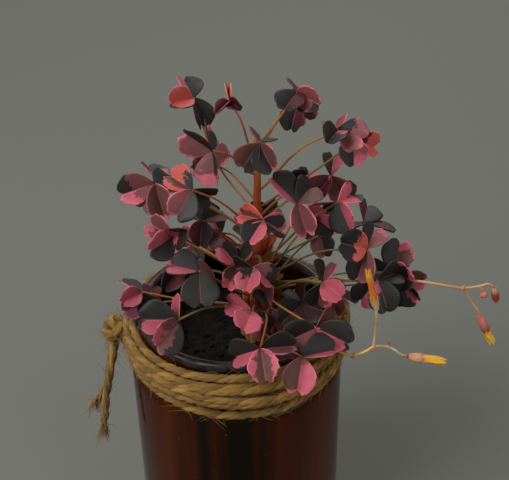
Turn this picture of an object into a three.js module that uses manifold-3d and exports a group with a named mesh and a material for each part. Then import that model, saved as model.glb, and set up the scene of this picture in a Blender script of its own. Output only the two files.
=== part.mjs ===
// Potted oxalis vulcanicola: an amber glass jar bound with jute twine, soil, and the growing plant.
// Millimetres, +Z up. The origin is the centre of the jar's base, and the picture is taken from -Y.

import * as THREE from 'three';
import { mergeVertices } from 'three/addons/utils/BufferGeometryUtils.js';
import Module from 'manifold-3d';

const wasm = await Module();
wasm.setup();

// Driving dimensions
const GAP = 0.3;
const WELD = 1e-4;
const ARC_STEPS = 2;
const JAR = {
  height: 110,
  bodyRadius: 37.5,
  wall: 3.3,
  base: 6,
  heel: 4,
  innerHeel: 3,
  neckRadius: 34.2,
  mouthRadius: 30.2,
  neckDrop: 16,
  shoulderDrop: 24,
  innerNeckLow: 1,
  innerBendLow: 2,
  innerShoulderLow: 3,
  sides: 32,
};
const RIM = JAR.height;
const SOIL = {
  edgeDrop: 18,
  middleDrop: 16,
  footRound: 4,
  bodyLow: 5,
  moundPart: 0.5,
  moundRise: 1.6,
  pocketDepth: 20,
  pocketGap: 1,
  sides: 24,
};
const CROWN = { x: 8.3, y: 3, footRadius: 6.5, footDrop: 19.5, tipRise: 0.4, sides: 12 };
const KNOT = { thick: 3.2, wide: 4.2, tall: 4.4, reach: 43, angle: 182, drop: 9.5, sides: 12, rings: 8 };
const TAIL = { radius: 1.5, sides: 8, steps: 8 };
const BLADE = { halfWidth: 0.57, thickness: 0.36, heel: -0.12, foot: 0.22, flattest: 0.995 };
const PETIOLE = { radius: 0.5, sides: 5, steps: 4, past: 0.35, bend: 0.55, arch: 2 };
const STALK = { radius: 0.65, branch: 0.85, sides: 6, stepsPerSpan: 2 };
const FLOWER_SIDES = 8;

// The eye of the picture, worked out from the rim's ellipse and the jar's sides: how far it stands
// in front of the jar's axis, how far above the rim, and how it is turned. The scale is in pixels.
const SIGHT = { ahead: 273.6, above: 213.3, pitch: 34.5, yaw: 1.52, roll: -1.16, scale: 1000 };
const PICTURE = { middleX: 254.5, middleY: 240 };

const radians = THREE.MathUtils.degToRad;

function sightAxes() {
  const pitch = radians(SIGHT.pitch);
  const yaw = radians(SIGHT.yaw);
  const forward = new THREE.Vector3(
    Math.sin(yaw) * Math.cos(pitch),
    Math.cos(yaw) * Math.cos(pitch),
    -Math.sin(pitch),
  );
  const right = new THREE.Vector3(Math.cos(yaw), -Math.sin(yaw), 0);
  right.applyAxisAngle(forward, -radians(SIGHT.roll));
  const up = new THREE.Vector3().crossVectors(right, forward);
  return { forward, right, up };
}

const EYE = new THREE.Vector3(0, -SIGHT.ahead, RIM + SIGHT.above);
const AXES = sightAxes();

// The point that shows at a pixel of the picture, at a depth in millimetres along Y.
function seenAt([x, y, depth]) {
  const ray = AXES.forward.clone();
  ray.addScaledVector(AXES.right, (x - PICTURE.middleX) / SIGHT.scale);
  ray.addScaledVector(AXES.up, (PICTURE.middleY - y) / SIGHT.scale);
  return EYE.clone().addScaledVector(ray, (depth - EYE.y) / ray.y);
}

function signedVolume(geometry) {
  const flat = geometry.index ? geometry.toNonIndexed() : geometry;
  const place = flat.getAttribute('position');
  const [a, b, c] = [new THREE.Vector3(), new THREE.Vector3(), new THREE.Vector3()];
  let volume = 0;
  for (let i = 0; i < place.count; i += 3) {
    a.fromBufferAttribute(place, i);
    b.fromBufferAttribute(place, i + 1);
    c.fromBufferAttribute(place, i + 2);
    volume += a.dot(b.cross(c)) / 6;
  }
  return volume;
}

// One closed solid from a three.js geometry, with its faces pointing out.
function solidOf(geometry) {
  geometry.deleteAttribute('normal');
  geometry.deleteAttribute('uv');
  const merged = mergeVertices(geometry, WELD);
  const triVerts = new Uint32Array(merged.index.array);
  if (signedVolume(merged) < 0) {
    for (let i = 0; i < triVerts.length; i += 3) {
      [triVerts[i], triVerts[i + 1]] = [triVerts[i + 1], triVerts[i]];
    }
  }
  const vertProperties = new Float32Array(merged.getAttribute('position').array);
  return new wasm.Manifold(new wasm.Mesh({ numProp: 3, vertProperties, triVerts }));
}

// Joins closed geometries and keeps the outer body, without specks or pockets left between facets.
function joined(geometries) {
  const whole = geometries.map(solidOf).reduce((sum, next) => sum.add(next));
  const bodies = whole.decompose().sort((one, other) => other.volume() - one.volume());
  return bodies[0];
}

function geometryOf(solid) {
  const mesh = solid.getMesh();
  const geometry = new THREE.BufferGeometry();
  geometry.setAttribute('position', new THREE.BufferAttribute(new Float32Array(mesh.vertProperties), 3));
  geometry.setIndex(new THREE.BufferAttribute(new Uint32Array(mesh.triVerts), 1));
  return geometry;
}

// Finishes
function finish(color, roughness, extra = {}) {
  return new THREE.MeshStandardMaterial({ color, roughness, ...extra });
}

const GLASS = finish(0x4a1c08, 0.12, { transparent: true, opacity: 0.85 });
const SOIL_FINISH = finish(0x1b1410, 0.95);
const STEM = finish(0x8a4a24, 0.6);
const STALK_FINISH = finish(0xc09a6a, 0.55);
const LEAF = finish(0x6b3a48, 0.55);
const PETAL = finish(0xf0b424, 0.5);
const BUD = finish(0xa04a30, 0.55);
const JUTE = finish(0xb48a50, 0.9);

const potted = new THREE.Group();

function addPiece(name, solid, material) {
  const mesh = new THREE.Mesh(geometryOf(solid), material);
  mesh.name = name;
  potted.add(mesh);
  return mesh;
}

function turned(outline, sides, x = 0, y = 0) {
  const geometry = new THREE.LatheGeometry(outline, sides);
  geometry.rotateX(Math.PI / 2);
  geometry.translate(x, y, 0);
  return geometry;
}

function tube(points, radius, sides, steps) {
  const ring = Array.from({ length: sides }, (unused, i) => {
    const angle = (i / sides) * 2 * Math.PI;
    return new THREE.Vector2(radius * Math.cos(angle), radius * Math.sin(angle));
  });
  const path = new THREE.CatmullRomCurve3(points, false, 'centripetal');
  return new THREE.ExtrudeGeometry(new THREE.Shape(ring), { steps, extrudePath: path });
}

// Glass jar: flat base, straight body, a slight neck for the twine, and a round lip.
function jarOutline() {
  const { bodyRadius, wall, base, heel, innerHeel, neckRadius, mouthRadius } = JAR;
  const { innerNeckLow, innerBendLow, innerShoulderLow } = JAR;
  const lip = (neckRadius - mouthRadius) / 2;
  const inside = bodyRadius - wall;
  const neckFoot = RIM - JAR.neckDrop;
  const shoulder = RIM - JAR.shoulderDrop;
  const middle = (neckFoot + shoulder) / 2;
  const path = new THREE.Path();
  path.moveTo(0, 0);
  path.lineTo(bodyRadius - heel, 0);
  path.absarc(bodyRadius - heel, heel, heel, -Math.PI / 2, 0);
  path.lineTo(bodyRadius, shoulder);
  path.bezierCurveTo(bodyRadius, middle, neckRadius, middle, neckRadius, neckFoot);
  path.lineTo(neckRadius, RIM - lip);
  path.absarc(neckRadius - lip, RIM - lip, lip, 0, Math.PI);
  const bend = middle - innerBendLow;
  path.lineTo(mouthRadius, neckFoot - innerNeckLow);
  path.bezierCurveTo(mouthRadius, bend, inside, bend, inside, shoulder - innerShoulderLow);
  path.lineTo(inside, base + innerHeel);
  path.absarc(inside - innerHeel, base + innerHeel, innerHeel, 0, -Math.PI / 2, true);
  path.lineTo(0, base);
  return path.getPoints(ARC_STEPS);
}

addPiece('glass_jar', solidOf(turned(jarOutline(), JAR.sides)), GLASS);

// Soil: fills the body and the foot of the neck, with a pocket that the crown is planted in.
function soilSolid() {
  const inside = JAR.bodyRadius - JAR.wall - GAP;
  const foot = JAR.base + GAP;
  const top = RIM - SOIL.edgeDrop;
  const neck = JAR.mouthRadius - GAP;
  const outline = [
    [0, foot],
    [inside - SOIL.footRound, foot],
    [inside, foot + SOIL.footRound],
    [inside, RIM - JAR.shoulderDrop - SOIL.bodyLow],
    [neck, RIM - JAR.shoulderDrop],
    [neck, top],
    [neck * SOIL.moundPart, top + SOIL.moundRise],
    [0, RIM - SOIL.middleDrop],
  ].map(([r, z]) => new THREE.Vector2(r, z));
  const pocketFloor = RIM - CROWN.footDrop - GAP;
  const pocketRadius = CROWN.footRadius + SOIL.pocketGap;
  const pocket = new THREE.CylinderGeometry(pocketRadius, pocketRadius, SOIL.pocketDepth, SOIL.sides);
  pocket.rotateX(Math.PI / 2);
  pocket.translate(CROWN.x, CROWN.y, pocketFloor + SOIL.pocketDepth / 2);
  return solidOf(turned(outline, SOIL.sides)).subtract(solidOf(pocket));
}

addPiece('potting_soil', soilSolid(), SOIL_FINISH);

// Crown and main stem: radius of the stem at each height above the rim.
const STEM_RADII = [
  [-CROWN.footDrop, CROWN.footRadius],
  [-13, 6.6],
  [-6, 5.8],
  [2, 4.8],
  [12, 4.0],
  [20, 3.0],
  [27, 1.9],
  [34, 1.4],
  [48, 1.2],
  [61, 1.05],
  [62.5, 0.6],
];

function stemRadius(height) {
  const above = STEM_RADII.findIndex(([z]) => z >= height);
  const [z1, r1] = STEM_RADII[above];
  const [z0, r0] = STEM_RADII[Math.max(above - 1, 0)];
  return z1 === z0 ? r1 : r0 + ((r1 - r0) * (height - z0)) / (z1 - z0);
}

function stemOutline() {
  const side = STEM_RADII.map(([z, r]) => new THREE.Vector2(r, RIM + z));
  const foot = new THREE.Vector2(0, side[0].y);
  const tip = new THREE.Vector2(0, side.at(-1).y + CROWN.tipRise);
  return [foot, ...side, tip];
}

addPiece('crown_and_main_stem', solidOf(turned(stemOutline(), CROWN.sides, CROWN.x, CROWN.y)), STEM);

// Where a stalk of a given radius leaves the stem at a height, on the side that faces its far end.
function stemStart(height, toward, radius) {
  const away = new THREE.Vector2(toward.x - CROWN.x, toward.y - CROWN.y).normalize();
  const reach = stemRadius(height) + radius + GAP;
  return new THREE.Vector3(CROWN.x + away.x * reach, CROWN.y + away.y * reach, RIM + height);
}

// The edge of half a leaflet as two curves: its side, and its lobe as far as the notch. Each curve has
// two handles and an end, in parts of the half width and of the length.
const EDGE_CURVES = [
  [[0.4, 0.25], [1.05, 0.5], [1, 0.86]],
  [[0.95, 1.14], [0.3, 1.16], [0, 0.96]],
];

function halfEdge(length) {
  const wide = BLADE.halfWidth * length;
  const edge = new THREE.Path();
  edge.moveTo(BLADE.foot, 0);
  for (const curve of EDGE_CURVES) {
    edge.bezierCurveTo(...curve.flatMap(([across, along]) => [across * wide, along * length]));
  }
  return edge.getPoints(ARC_STEPS);
}

// One closed leaflet: a thin plate folded along its midrib, with its foot at the hub.
function leafletGeometry(hub, length, { along, halves }) {
  const normals = halves.map((across, i) => {
    return new THREE.Vector3().crossVectors(across, along).multiplyScalar(i === 0 ? 1 : -1);
  });
  const ridge = normals[0].clone().add(normals[1]).normalize();
  const edge = halfEdge(length);
  const notch = edge.pop();
  const place = (point, half) => {
    const middle = hub.clone().addScaledVector(along, point.y);
    return middle.addScaledVector(halves[half], point.x);
  };
  const loop = [
    { at: place(notch, 0), normal: ridge },
    ...edge.toReversed().map((point) => ({ at: place(point, 1), normal: normals[1] })),
    { at: hub.clone().addScaledVector(along, -BLADE.heel), normal: ridge },
    ...edge.map((point) => ({ at: place(point, 0), normal: normals[0] })),
  ];
  const count = loop.length;
  const half = BLADE.thickness / 2;
  const lifted = (lift) => loop.map(({ at, normal }) => at.clone().addScaledVector(normal, lift));
  const corners = [...lifted(half), ...lifted(-half)];
  const faces = [];
  for (let i = 1; i < count - 1; i += 1) {
    faces.push(0, i, i + 1, count, count + i + 1, count + i);
  }
  for (let i = 0; i < count; i += 1) {
    const next = (i + 1) % count;
    faces.push(i, count + i, count + next, i, count + next, next);
  }
  const geometry = new THREE.BufferGeometry().setFromPoints(corners);
  geometry.setIndex(faces);
  return geometry;
}

// The directions of a leaflet: along it, and across each half, from the tip's pixel, the leaflet's
// real length, the side that its tip leans to, and how it is turned and folded to the eye.
function bladeAxes(hub, depth, length, { tip, lean, turn, fold }) {
  const flat = seenAt([...tip, depth]).sub(hub);
  const toEye = EYE.clone().sub(hub).normalize();
  const inPicture = flat.addScaledVector(toEye, -flat.dot(toEye));
  const seen = Math.min(inPicture.length(), length * BLADE.flattest);
  const along = inPicture.normalize().multiplyScalar(seen / length);
  along.addScaledVector(toEye, lean * Math.sqrt(1 - (seen / length) ** 2));
  const facing = toEye.clone().addScaledVector(along, -toEye.dot(along)).normalize();
  const left = new THREE.Vector3().crossVectors(facing, along);
  const halves = [[1, fold + turn], [-1, fold - turn]].map(([side, angle]) => {
    const across = left.clone().multiplyScalar(side * Math.cos(radians(angle)));
    return across.addScaledVector(facing, Math.sin(radians(angle)));
  });
  return { along, halves };
}

function leafGeometries({ hub, root, via, size, blades }) {
  const top = seenAt(hub);
  const start = stemStart(root, top, PETIOLE.radius);
  const arched = start.clone().lerp(top, PETIOLE.bend).add(new THREE.Vector3(0, 0, PETIOLE.arch));
  const middle = via ? seenAt(via) : arched;
  const past = top.clone().sub(middle).setLength(PETIOLE.past).add(top);
  const parts = [tube([start, middle, past], PETIOLE.radius, PETIOLE.sides, PETIOLE.steps)];
  for (const row of blades) {
    parts.push(leafletGeometry(top, size, bladeAxes(top, hub[2], size, row)));
  }
  return parts;
}

const blade = (x, y, lean, turn, fold) => ({ tip: [x, y], lean, turn, fold });
const leaf = (hub, root, size, blades, via = null) => ({ hub, root, size, blades, via });

// Every leaf, from the top down: its hub (two pixels and a depth), the height on the stem that it
// grows from, the length of its leaflets, and each leaflet's tip pixel, lean (1 to the eye), turn and fold.
const LEAVES = [
  leaf([193.5, 98, 14], 36, 9.6, [
    blade(182, 77, -1, 45, 28),
    blade(170, 104, 1, 20, 45),
    blade(203, 132, -1, -40, 40),
  ], [220, 168, 14.5]),
  leaf([212, 151, -6], 50, 10.4, [
    blade(181, 131, 1, -40, 32),
    blade(206, 122, -1, 75, 12),
    blade(215, 188, 1, 40, 36),
  ]),
  leaf([214, 164, 14], 40, 9.5, [
    blade(193, 172, 1, 10, 35),
    blade(204, 146, -1, 45, 25),
    blade(228, 158, 1, -40, 30),
  ]),
  leaf([192, 190, -8], 30, 10.2, [
    blade(168, 174, -1, 15, 35),
    blade(176, 218, 1, 0, 30),
    blade(211, 197, -1, 10, 50),
  ]),
  leaf([155, 184, 0], 27, 11.5, [
    blade(118, 196, -1, 10, 38),
    blade(165, 218, 1, 0, 48),
    blade(176, 183, -1, -55, 25),
  ]),
  leaf([160, 183, 16], 26, 10.8, [
    blade(146, 164, -1, 55, 25),
    blade(139, 213, 1, 0, 25),
    blade(182, 190, 1, -45, 25),
  ]),
  leaf([173, 237, -17], 10, 10.0, [
    blade(148, 223, -1, 0, 45),
    blade(150, 251, 1, -15, 35),
    blade(186, 231, 1, 10, 50),
  ], [200, 249, -10.5]),
  leaf([202, 221, 6], 19, 9.5, [
    blade(200, 246, 1, 0, 45),
    blade(222, 214, -1, -30, 35),
    blade(186, 210, -1, 40, 30),
  ], [222, 236, 4]),
  leaf([221, 233, 14], 18, 8.6, [
    blade(210, 214, -1, 10, 40),
    blade(230, 248, -1, 10, 45),
    blade(208, 246, 1, -10, 40),
  ]),
  leaf([259, 143, -9], 58, 9.6, [
    blade(243, 168, -1, 15, 40),
    blade(273, 170, 1, 15, 42),
    blade(262, 136, -1, 0, 30),
  ]),
  leaf([230, 102, -4], 58, 6.4, [
    blade(217, 114, 1, 30, 66),
    blade(241, 109, 1, 0, 62),
    blade(228, 86, -1, 0, 78),
  ], [240, 118, -3]),
  leaf([297, 92, 0], 61, 9.2, [
    blade(285, 109, 1, 20, 30),
    blade(319, 105, 1, 10, 40),
    blade(299, 87, -1, 0, 30),
  ], [285, 110, 1]),
  leaf([298, 103, 11], 57, 9.0, [
    blade(291, 130, 1, 15, 40),
    blade(307, 121, -1, -15, 45),
    blade(281, 96, -1, 50, 30),
  ], [280, 116, 9]),
  leaf([338, 130, -8], 44, 9.4, [
    blade(364, 139, 1, 0, 12),
    blade(334, 121, -1, 10, 35),
    blade(329, 142, 1, 10, 45),
  ], [300, 149, -4]),
  leaf([354, 140, 4], 37, 9.8, [
    blade(354, 165, 1, 0, 35),
    blade(377, 148, -1, -15, 42),
    blade(343, 121, -1, 40, 30),
  ], [330, 160, 4]),
  leaf([297, 203, -14], 15, 11.0, [
    blade(271, 178, 1, 50, 25),
    blade(308, 237, 1, 0, 50),
    blade(313, 185, -1, 0, 35),
  ], [291, 224, -12]),
  leaf([304, 187, 12], 33, 8.6, [
    blade(290, 176, 1, 20, 40),
    blade(310, 171, -1, 0, 40),
    blade(320, 191, 1, -20, 35),
  ]),
  leaf([331, 176, 6], 31, 9.8, [
    blade(313, 200, 1, 20, 45),
    blade(346, 200, -1, 0, 42),
    blade(334, 155, -1, 0, 50),
  ]),
  leaf([338, 202, -6], 17, 9.8, [
    blade(358, 193, -1, -15, 45),
    blade(350, 229, 1, 30, 32),
    blade(319, 206, -1, -60, 20),
  ]),
  leaf([317, 219, 8], 10, 8.6, [
    blade(309, 206, 1, 10, 45),
    blade(334, 231, 1, 10, 38),
    blade(330, 208, -1, 20, 50),
  ]),
  leaf([367, 249, -11], 10, 10.6, [
    blade(341, 243, 1, 0, 28),
    blade(376, 226, -1, 10, 38),
    blade(357, 280, -1, 0, 38),
  ], [318, 252, -4.5]),
  leaf([364, 222, 8], 14, 10.4, [
    blade(347, 231, 1, 70, 15),
    blade(395, 233, 1, -78, 14),
    blade(368, 203, -1, 30, 30),
  ]),
  leaf([263, 220, -11], 21, 8.8, [
    blade(239, 214, -1, 10, 48),
    blade(249, 242, 1, 20, 32),
    blade(284, 232, -1, -35, 30),
  ]),
  leaf([264, 214, 17], 32, 8.0, [
    blade(250, 205, 1, 0, 45),
    blade(278, 207, -1, 0, 40),
    blade(268, 232, 1, 0, 40),
  ]),
  leaf([199, 271, -14], 3, 11.2, [
    blade(169, 265, -1, 35, 30),
    blade(201, 305, 1, 0, 12),
    blade(218, 279, -1, -70, 18),
  ], [222, 283, -8]),
  leaf([180, 270, 8], 6, 9.8, [
    blade(170, 250, -1, 0, 48),
    blade(165, 289, 1, 0, 48),
    blade(198, 262, 1, -30, 35),
  ]),
  leaf([141, 292, -10], -3, 8.8, [
    blade(120, 280, -1, 72, 15),
    blade(121, 303, 1, 0, 48),
    blade(152, 308, -1, 10, 38),
  ], [183, 299.5, -6.5]),
  leaf([148, 304, -2], -4, 8.8, [
    blade(123, 312, 1, 0, 45),
    blade(152, 287, -1, 0, 45),
    blade(162, 314, 1, 0, 40),
  ]),
  leaf([178, 320, -26], -2, 12.0, [
    blade(135, 320, -1, 12, 32),
    blade(156, 347, 1, -25, 35),
    blade(169, 304, -1, 0, 50),
  ], [206, 308, -17]),
  leaf([253, 268, -19], 9, 9.2, [
    blade(246, 292, 1, 15, 38),
    blade(272, 284, -1, -35, 35),
    blade(237, 268, -1, 0, 45),
  ]),
  leaf([238, 266, -8], 8, 9.2, [
    blade(221, 246, -1, 0, 48),
    blade(227, 289, 1, 0, 48),
    blade(252, 252, 1, -60, 20),
  ]),
  leaf([252, 311, -21], -2, 10.0, [
    blade(226, 303, -1, 0, 48),
    blade(244, 331, 1, 0, 28),
    blade(262, 335, -1, -35, 35),
  ]),
  leaf([271, 306, -13], 2, 9.0, [
    blade(276, 331, -1, 0, 50),
    blade(286.5, 309, -1, 25, 40),
    blade(262, 289, -1, 0, 45),
  ]),
  leaf([302, 304, -11], 0, 10.6, [
    blade(326, 312, 1, 0, 24),
    blade(283, 322, 1, 0, 25),
    blade(293, 288, -1, 0, 40),
  ]),
  leaf([260.5, 349, -40], -4, 10.8, [
    blade(232, 358, -1, 10, 42),
    blade(266, 381, 1, 0, 38),
    blade(296, 346, -1, -15, 55),
  ], [267, 318, -26.5]),
  leaf([302, 357, -39], -12, 11.4, [
    blade(297, 394, 1, 0, 35),
    blade(270, 353, -1, 40, 40),
    blade(336, 350, -1, -40, 40),
  ], [282, 346, -33]),
  leaf([316, 328, -25], 3, 12.0, [
    blade(284, 343, 1, 0, 40),
    blade(354, 347, 1, -15, 40),
    blade(336, 322, -1, -20, 55),
  ], [280, 306, -18]),
  leaf([323, 283, -18], 4, 9.4, [
    blade(326, 262, -1, 0, 45),
    blade(343, 298, 1, 0, 40),
    blade(317, 305, -1, 0, 32),
  ], [300, 280, -10]),
  leaf([333, 289, -9], 6, 8.8, [
    blade(336, 316, -1, 0, 48),
    blade(357, 304, 1, -75, 14),
    blade(318, 282, -1, 0, 40),
  ]),
  leaf([378, 280, -16], 7, 10.4, [
    blade(359, 302, -1, 0, 35),
    blade(388, 311, 1, 0, 30),
    blade(398, 272, -1, 0, 50),
  ], [335, 281, -11.5]),
  leaf([383, 284, 3], -7, 10.0, [
    blade(396, 307, -1, 10, 30),
    blade(372, 300, 1, 0, 45),
    blade(372, 268, -1, 10, 40),
  ], [335, 287, 2.5]),
  leaf([394, 273, -3], 4, 11.2, [
    blade(401, 238, 1, 0, 28),
    blade(376, 271, -1, 0, 48),
    blade(413, 281, 1, 10, 40),
  ], [345, 273, -2]),
  leaf([399, 282, 6], 2, 9.4, [
    blade(428, 280, -1, 0, 48),
    blade(420, 303, 1, 30, 40),
    blade(391, 262, -1, 0, 45),
  ], [350, 279, 7]),
  leaf([258, 221, 29], 6, 9.4, [
    blade(234, 224, -1, 10, 35),
    blade(262, 245, 1, 0, 40),
    blade(280, 210, -1, 0, 35),
  ]),
  leaf([320, 233, 25], 2, 9.6, [
    blade(338, 218, -1, 0, 35),
    blade(325, 256, 1, 0, 38),
    blade(298, 226, 1, 10, 40),
  ]),
  leaf([196, 245, 27], 1, 9.6, [
    blade(178, 232, -1, 0, 38),
    blade(190, 268, 1, 0, 40),
    blade(218, 238, -1, 0, 40),
  ]),
];

LEAVES.forEach((row, i) => {
  const name = `leaf_${String(i + 1).padStart(2, '0')}`;
  addPiece(name, joined(leafGeometries(row)), LEAF);
});

// Flower stalks: a main route and its short branches, through pixels at a depth.
function stalkSolid(rootHeight, routes) {
  const first = seenAt(routes[0][0]);
  const start = stemStart(rootHeight, first, STALK.radius);
  return joined(routes.map((route, i) => {
    const points = route.map(seenAt);
    const whole = i === 0 ? [start, ...points] : points;
    const radius = STALK.radius * (i === 0 ? 1 : STALK.branch);
    return tube(whole, radius, STALK.sides, (whole.length - 1) * STALK.stepsPerSpan);
  }));
}

const LONG_STALK = [
  [[318, 279, 2], [350, 280, 1], [384, 282, -4], [415, 281, -10], [448, 286, -12], [463, 288, -12],
    [480, 286, -12], [488, 284, -12], [493.6, 286.5, -12]],
  [[463, 288, -12], [471, 301, -12], [478, 311, -12], [479.8, 315.5, -12]],
  [[478, 286.3, -12], [481, 288.5, -12], [482.3, 290.8, -12]],
];
const LOW_STALK = [
  [[312, 330, -22], [342, 353, -27.5], [354, 355, -28], [366, 351, -28], [373, 347, -28], [381, 346, -28],
    [388, 347, -28], [394, 349.5, -28], [401, 354.5, -28], [407, 356, -28]],
  [[373, 347, -28], [375.5, 332, -28], [376.6, 317, -28], [376.4, 308, -28]],
  [[388, 347, -28], [389, 342.6, -28]],
];
addPiece('flower_stalk_long', stalkSolid(-5, LONG_STALK), STALK_FINISH);
addPiece('flower_stalk_low', stalkSolid(-8, LOW_STALK), STALK_FINISH);

// A closed flower or a bud: a spindle turned about its own axis, with its radius at parts of its length.
function spindle(foot, tip, outline) {
  const base = seenAt(foot);
  const axis = seenAt(tip).sub(base);
  const length = axis.length();
  const side = outline.map(([part, radius]) => new THREE.Vector2(radius, part * length));
  const geometry = new THREE.LatheGeometry([
    new THREE.Vector2(0, side[0].y),
    ...side,
    new THREE.Vector2(0, side.at(-1).y),
  ], FLOWER_SIDES);
  const turn = new THREE.Quaternion().setFromUnitVectors(new THREE.Vector3(0, 1, 0), axis.normalize());
  geometry.applyQuaternion(turn);
  geometry.translate(base.x, base.y, base.z);
  return solidOf(geometry);
}

const FLOWER = [[0.04, 0.9], [0.12, 1.5], [0.45, 1.75], [0.6, 1.5], [0.9, 1.6], [1, 1.1]];
const BUD_OUTLINE = [[0.04, 0.6], [0.15, 1.0], [0.5, 1.15], [0.85, 0.8], [1, 0.4]];
addPiece('flower_hanging', spindle([480, 316.5, -12], [491.5, 342, -12], FLOWER), PETAL);
addPiece('flower_upright', spindle([376.3, 308.3, -28], [368, 271, -28], FLOWER), PETAL);
addPiece('flower_side', spindle([408.5, 356.4, -28], [444, 361.5, -28], FLOWER), PETAL);
addPiece('bud_large', spindle([494.3, 287.8, -12], [496.3, 303, -12], BUD_OUTLINE), BUD);
addPiece('bud_small', spindle([482.6, 291.8, -12], [484.8, 297, -12], BUD_OUTLINE), BUD);

// Twine: a band round the neck, its knot at the left, and two hanging ends. The band's outline is its
// radius and its drop below the rim at each corner.
const WINDING = [
  [35.3, 0.8],
  [34.5, 1.8],
  [34.5, 16],
  [36.3, 20],
  [38.1, 24],
  [39.4, 24.6],
  [40.4, 22.8],
  [39.8, 16],
  [39, 3.2],
  [37.8, 0.8],
];

function windingOutline() {
  const outline = WINDING.map(([radius, drop]) => new THREE.Vector2(radius, RIM - drop));
  return [...outline, outline[0].clone()];
}

addPiece('twine_winding', solidOf(turned(windingOutline(), JAR.sides)), JUTE);

const knotAngle = radians(KNOT.angle);
const knotCentre = new THREE.Vector3(
  KNOT.reach * Math.cos(knotAngle),
  KNOT.reach * Math.sin(knotAngle),
  RIM - KNOT.drop,
);
const knot = new THREE.SphereGeometry(1, KNOT.sides, KNOT.rings);
knot.scale(KNOT.thick, KNOT.wide, KNOT.tall);
knot.rotateZ(knotAngle - Math.PI);
knot.translate(knotCentre.x, knotCentre.y, knotCentre.z);
addPiece('twine_knot', solidOf(knot), JUTE);

// The hanging ends, as points away from the knot's centre.
const FRONT_END = [
  [-0.4, -1.9, -4.9],
  [-1.4, -2.1, -9],
  [-4.0, -2.2, -20],
  [-6.2, -2.2, -31],
  [-8.4, -2.4, -46],
];
const BACK_END = [
  [-0.8, 1.9, -4.9],
  [-2.2, 2.2, -10],
  [-4.2, 3.0, -20],
  [-5.4, 3.4, -27],
  [-8.0, 3.6, -33],
  [-11.2, 3.6, -38.2],
];

function tail(points) {
  const route = points.map(([x, y, z]) => new THREE.Vector3(x, y, z).add(knotCentre));
  return solidOf(tube(route, TAIL.radius, TAIL.sides, TAIL.steps));
}

addPiece('twine_end_front', tail(FRONT_END), JUTE);
addPiece('twine_end_back', tail(BACK_END), JUTE);

export default potted;
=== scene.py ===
"""A potted oxalis vulcanicola: purple and pink shamrock leaves in an amber jar bound with jute twine.

Sizes in the tables are millimetres, and pixels of the picture where a place is given by the way it looks.
"""

from __future__ import annotations

import logging
import math
import random
from dataclasses import dataclass
from enum import Enum

import bpy
import numpy as np
from mathutils import Matrix, Quaternion, Vector, noise

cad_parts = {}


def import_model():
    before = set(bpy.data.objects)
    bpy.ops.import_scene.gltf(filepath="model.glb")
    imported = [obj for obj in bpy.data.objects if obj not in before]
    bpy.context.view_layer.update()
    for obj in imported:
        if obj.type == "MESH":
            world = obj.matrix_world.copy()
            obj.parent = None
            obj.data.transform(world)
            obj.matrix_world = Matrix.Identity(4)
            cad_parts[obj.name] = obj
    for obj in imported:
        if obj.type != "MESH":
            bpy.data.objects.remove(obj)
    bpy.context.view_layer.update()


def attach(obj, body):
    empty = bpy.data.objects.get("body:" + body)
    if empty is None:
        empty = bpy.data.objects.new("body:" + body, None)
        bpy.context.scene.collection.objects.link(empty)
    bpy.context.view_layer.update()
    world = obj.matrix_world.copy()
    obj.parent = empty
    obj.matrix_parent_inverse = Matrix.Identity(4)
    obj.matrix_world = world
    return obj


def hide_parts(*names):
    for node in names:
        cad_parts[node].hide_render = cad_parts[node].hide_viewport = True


log = logging.getLogger("potted_oxalis")

Piece = bpy.types.Object
Material = bpy.types.Material
Shade = tuple[int, int, int]
Triple = tuple[float, float, float]

MM = 0.001
RIM = 110.0
ROOT = "root"
SEED = 20


def linear(shade: Shade) -> tuple[float, float, float, float]:
    """The shader's colour for a shade on the usual 0 to 255 scale.

    Args:
        shade: Red, green and blue, from 0 to 255.

    Returns:
        Red, green, blue and a full alpha, in linear light.
    """
    parts = [channel / 255 for channel in shade]
    light = [c / 12.92 if c <= 0.04045 else ((c + 0.055) / 1.055) ** 2.4 for c in parts]
    return (light[0], light[1], light[2], 1.0)


class Tone(Enum):
    """Every colour of the plant, as a shade from 0 to 255."""

    DARK = (33, 32, 28)
    SLATE = (35, 37, 31)
    PLUM = (56, 30, 36)
    WINE = (76, 18, 30)
    BROWN = (98, 60, 54)
    MAUVE = (114, 64, 66)
    PURPLE = (96, 48, 62)
    ROSE = (138, 74, 76)
    PINK = (188, 88, 104)
    CORAL = (200, 90, 78)
    PALE_CORAL = (192, 120, 94)
    GOLD = (176, 112, 48)
    OLIVE = (128, 108, 56)
    RUST = (150, 74, 36)
    ROSY = (186, 96, 84)


class Lay(Enum):
    """Where a leaflet's second colour lies."""

    RIM = "rim"
    TIP = "tip"
    FOOT = "foot"
    RIB = "rib"


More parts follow.
